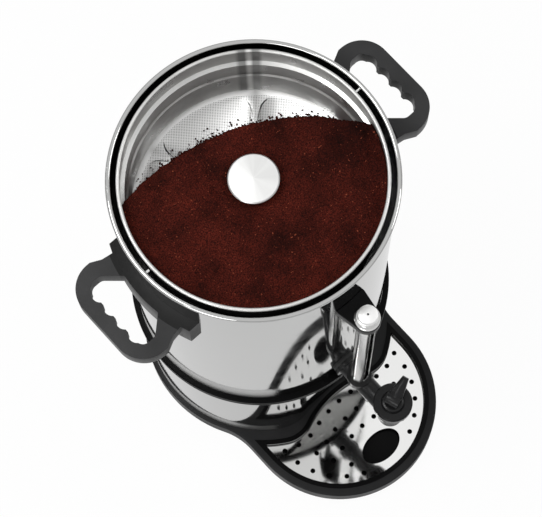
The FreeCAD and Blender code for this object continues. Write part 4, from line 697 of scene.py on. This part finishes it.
def half_panel(grow):
    """One side of a panel's outline, from the middle of its outer arc to the middle of its inner arc."""
    half = SPOKE_HALF - grow
    outer, inner = PANEL_OUT + grow, PANEL_IN - grow
    round_out, round_in = ROUND_OUT + grow, ROUND_IN + grow
    out_at = HALF_SHARE - math.asin((half + round_out) / (outer - round_out))
    in_at = HALF_SHARE - math.asin((half + round_in) / (inner + round_in))
    side = HALF_SHARE + math.pi / 2
    out_turn = side - out_at
    in_turn = math.pi + in_at - HALF_SHARE - math.pi / 2
    return (arc(0, 0, outer, [out_at * i / ALONG for i in range(ALONG)])
            + arc(outer - round_out, out_at, round_out,
                  [out_at + out_turn * i / ALONG for i in range(ALONG + 1)])
            + arc(inner + round_in, in_at, round_in,
                  [side + in_turn * i / ALONG for i in range(ALONG + 1)])
            + arc(0, 0, inner, [in_at * (1 - i / ALONG) for i in range(1, ALONG + 1)]))


def half_sector():
    """The edge of the panel's share of the floor, point for point with half_panel."""
    points = [(FLOOR_OUT, HALF_SHARE * i / ALONG) for i in range(ALONG)]
    run = 2 * ALONG + 2
    points += [(FLOOR_OUT + (FLOOR_IN - FLOOR_OUT) * i / (run - 1), HALF_SHARE) for i in range(run)]
    points += [(FLOOR_IN, HALF_SHARE * (1 - i / ALONG)) for i in range(1, ALONG + 1)]
    return [(r * math.cos(a), r * math.sin(a)) for r, a in points]


def ring_of(form, points, level, turned):
    """The half outline and its mirror image as one ring, turned into place."""
    full = points + [(x, -y) for x, y in reversed(points[1:-1])]
    c, s = math.cos(turned), math.sin(turned)
    return [form.verts.new(((x * c - y * s) * MM, (x * s + y * c) * MM, level * MM)) for x, y in full]


def basket_floor_sheet():
    form = bmesh.new()
    for index in range(PANELS):
        turned = math.radians(SPOKES_AT + 30 + 60 * index)
        rings = (ring_of(form, half_sector(), FLOOR_Z, turned),
                 ring_of(form, half_panel(0), FLOOR_Z, turned),
                 ring_of(form, half_panel(-PRESSED_SLOPE), FLOOR_Z - PRESSED, turned))
        join_rings(form, rings)
        form.faces.new(rings[-1])
    weld(form)
    bmesh.ops.recalc_face_normals(form, faces=form.faces)
    if sum(face.normal.z for face in form.faces) < 0:
        bmesh.ops.reverse_faces(form, faces=form.faces)
    bmesh.ops.solidify(form, geom=form.faces[:], thickness=SHEET * MM)
    place_piece("basket_floor_sheet", form, "basket", "satin_steel",
                perforated_steel("basket_floor_mesh"), replaced=["basket_floor"], crease=50)


# Loose coffee along the heap's foot, in millimetres and degrees
CRUMBS = 620
SCREE_AT = (-48.4, -126.4)
SCREE_R = 210.5
SCREE_SWEEP = (25, 115)
SCREE_INSIDE = 2.5
SCREE_SPREAD = 1.9
SCREE_WITHIN = 109
CRUMB_RADII = (0.3, 0.95)
CRUMB_LUMPS = 0.5
CRUMB_RISE = 0.7


def crumbs():
    chance = random.Random(11)
    form = bmesh.new()
    made = 0
    while made < CRUMBS:
        angle = math.radians(chance.uniform(*SCREE_SWEEP))
        reach = SCREE_R - SCREE_INSIDE + chance.expovariate(1 / SCREE_SPREAD)
        x, y = SCREE_AT[0] + reach * math.cos(angle), SCREE_AT[1] + reach * math.sin(angle)
        if math.hypot(x, y) > SCREE_WITHIN:
            continue
        size = chance.uniform(*CRUMB_RADII) * MM
        grain = bmesh.ops.create_icosphere(form, subdivisions=2, radius=size)["verts"]
        for vert in grain:
            vert.co *= 1 + CRUMB_LUMPS * noise.noise(vert.co / size + Vector((made, 0, 0)))
        bmesh.ops.translate(form, verts=grain, vec=(x * MM, y * MM, FLOOR_Z * MM + size * CRUMB_RISE))
        made += 1
    place_piece("coffee_crumbs", form, "basket", "coffee")


# Level gauge top, cap and ringed collar: radius and height above the tube's top, in millimetres
GAUGE_AT = (0, -0.146)
GAUGE_TOP = 452.5
GAUGE_CAP = ((1.0, 8.0), (1.0, 16.0), (7.6, 16.0), (8.4, 15.7), (8.8, 15.0), (8.8, 10.4), (8.2, 9.9),
             (8.2, 9.3), (8.8, 8.8), (8.8, 8.0), (1.0, 8.0))
GAUGE_COLLAR = ((7.0, 0.0), (11.5, 0.0), (11.6, 0.8), (11.5, 2.3), (11.0, 2.7), (11.0, 3.2), (11.3, 3.6),
                (10.9, 5.4), (10.5, 5.8), (10.5, 6.3), (10.6, 6.7), (10.2, 7.7), (9.8, 8.0), (7.0, 8.0),
                (7.0, 0.0))


def gauge_head():
    cap, collar = (spun([(r, GAUGE_TOP + z) for r, z in profile], GAUGE_AT)
                   for profile in (GAUGE_CAP, GAUGE_COLLAR))
    place_piece("gauge_cap_turned", cap, "urn", "bright_steel", OWN_FINISHES["gauge_cap"],
                replaced=["gauge_cap"])
    place_piece("gauge_collar", collar, "urn", "bright_steel", replaced=["gauge_nut"])


# Ridge along the top of the lever's blade
TAP_AT = (0, -0.1916)
HINGE_Z = 0.2687
LEVER_TURN = math.radians(17.5)
LEVER_SLOPE = math.radians(21)
RIDGE_FOOT = 2.2
RIDGE_SIDE = 3.1
RIDGE_SOFT = 0.35
# Way along the blade, half width at the foot and at the top, and height
RIDGE_STATIONS = ((2.2, 6.2, 1.1, 5.3), (8.4, 6.2, 1.0, 5.4), (16.0, 4.6, 0.8, 4.9), (22.5, 3.2, 0.7, 4.1),
                  (24.6, 2.6, 0.6, 3.4))


def lever_ridge():
    """A tapered ridge with two slanting sides, from the hub to the tip."""
    form = bmesh.new()
    rings = []
    for along, half, top, height in RIDGE_STATIONS:
        corners = ((-half, RIDGE_FOOT), (half, RIDGE_FOOT), (half, RIDGE_SIDE), (top, height),
                   (-top, height), (-half, RIDGE_SIDE))
        rings.append([form.verts.new((along * MM, y * MM, z * MM)) for y, z in corners])
    join_rings(form, rings)
    form.faces.new(rings[0])
    form.faces.new(rings[-1])
    bmesh.ops.recalc_face_normals(form, faces=form.faces)
    rounded(form, form.edges[:], RIDGE_SOFT, 2)
    turn = (Matrix.Translation((*TAP_AT, HINGE_Z)) @ Matrix.Rotation(LEVER_TURN, 4, "Z")
            @ Matrix.Rotation(-LEVER_SLOPE, 4, "Y"))
    bmesh.ops.transform(form, matrix=turn, verts=form.verts)
    place_piece("lever_ridge", form, "lever", "tap_plastic", crease=30)


# Heap of coffee: height in millimetres, scale and shift of each layer of relief
HEAP_RELIEF = ((2.4, 45, (0, 0, 0)), (1.1, 160, (3, 7, 1)), (0.8, 520, (9, 2, 5)))
HEAP_SUNK = 0.6
HEAP_VOXEL = 1.35
HEAP_UPWARD = 0.2


def heap_of_coffee():
    """The heap of grounds: the solid remeshed fine, then roughened grain by grain."""
    form = merged_copy("coffee_grounds")
    mesh = bpy.data.meshes.new("heap_start")
    form.to_mesh(mesh)
    form.free()
    start = bpy.data.objects.new("heap_start", mesh)
    bpy.context.scene.collection.objects.link(start)
    remesh = start.modifiers.new("remesh", "REMESH")
    remesh.mode = "VOXEL"
    remesh.voxel_size = HEAP_VOXEL * MM
    depsgraph = bpy.context.evaluated_depsgraph_get()
    fine = bpy.data.meshes.new_from_object(start.evaluated_get(depsgraph))
    bpy.data.objects.remove(start)
    form = bmesh.new()
    form.from_mesh(fine)
    form.normal_update()
    for vert in form.verts:
        if vert.normal.z < HEAP_UPWARD:
            continue
        swell, clump, grit = (height * MM * noise.noise(vert.co * scale + Vector(shift))
                              for height, scale, shift in HEAP_RELIEF)
        vert.co += vert.normal * (swell + clump + grit - HEAP_SUNK * MM)
    finish_piece("coffee_heap", form, "basket", "coffee", replaced=["coffee_grounds"])


# CAD pieces with rounded edges: body, and width of the rounding in millimetres
SOFTENED = (
    ("handle_left", "urn", 0.8),
    ("handle_right", "urn", 0.8),
    ("gauge_bracket_top", "urn", 0.7),
    ("tap_body", "urn", 0.6),
    ("tap_lever", "lever", 0.5),
)

place_camera()
lay_floor()
light_the_room()
dress_nodes()
heap_of_coffee()
basket_floor_sheet()
crumbs()
gauge_head()
lever_ridge()
for name, body, width in SOFTENED:
    softened(name, body, width)
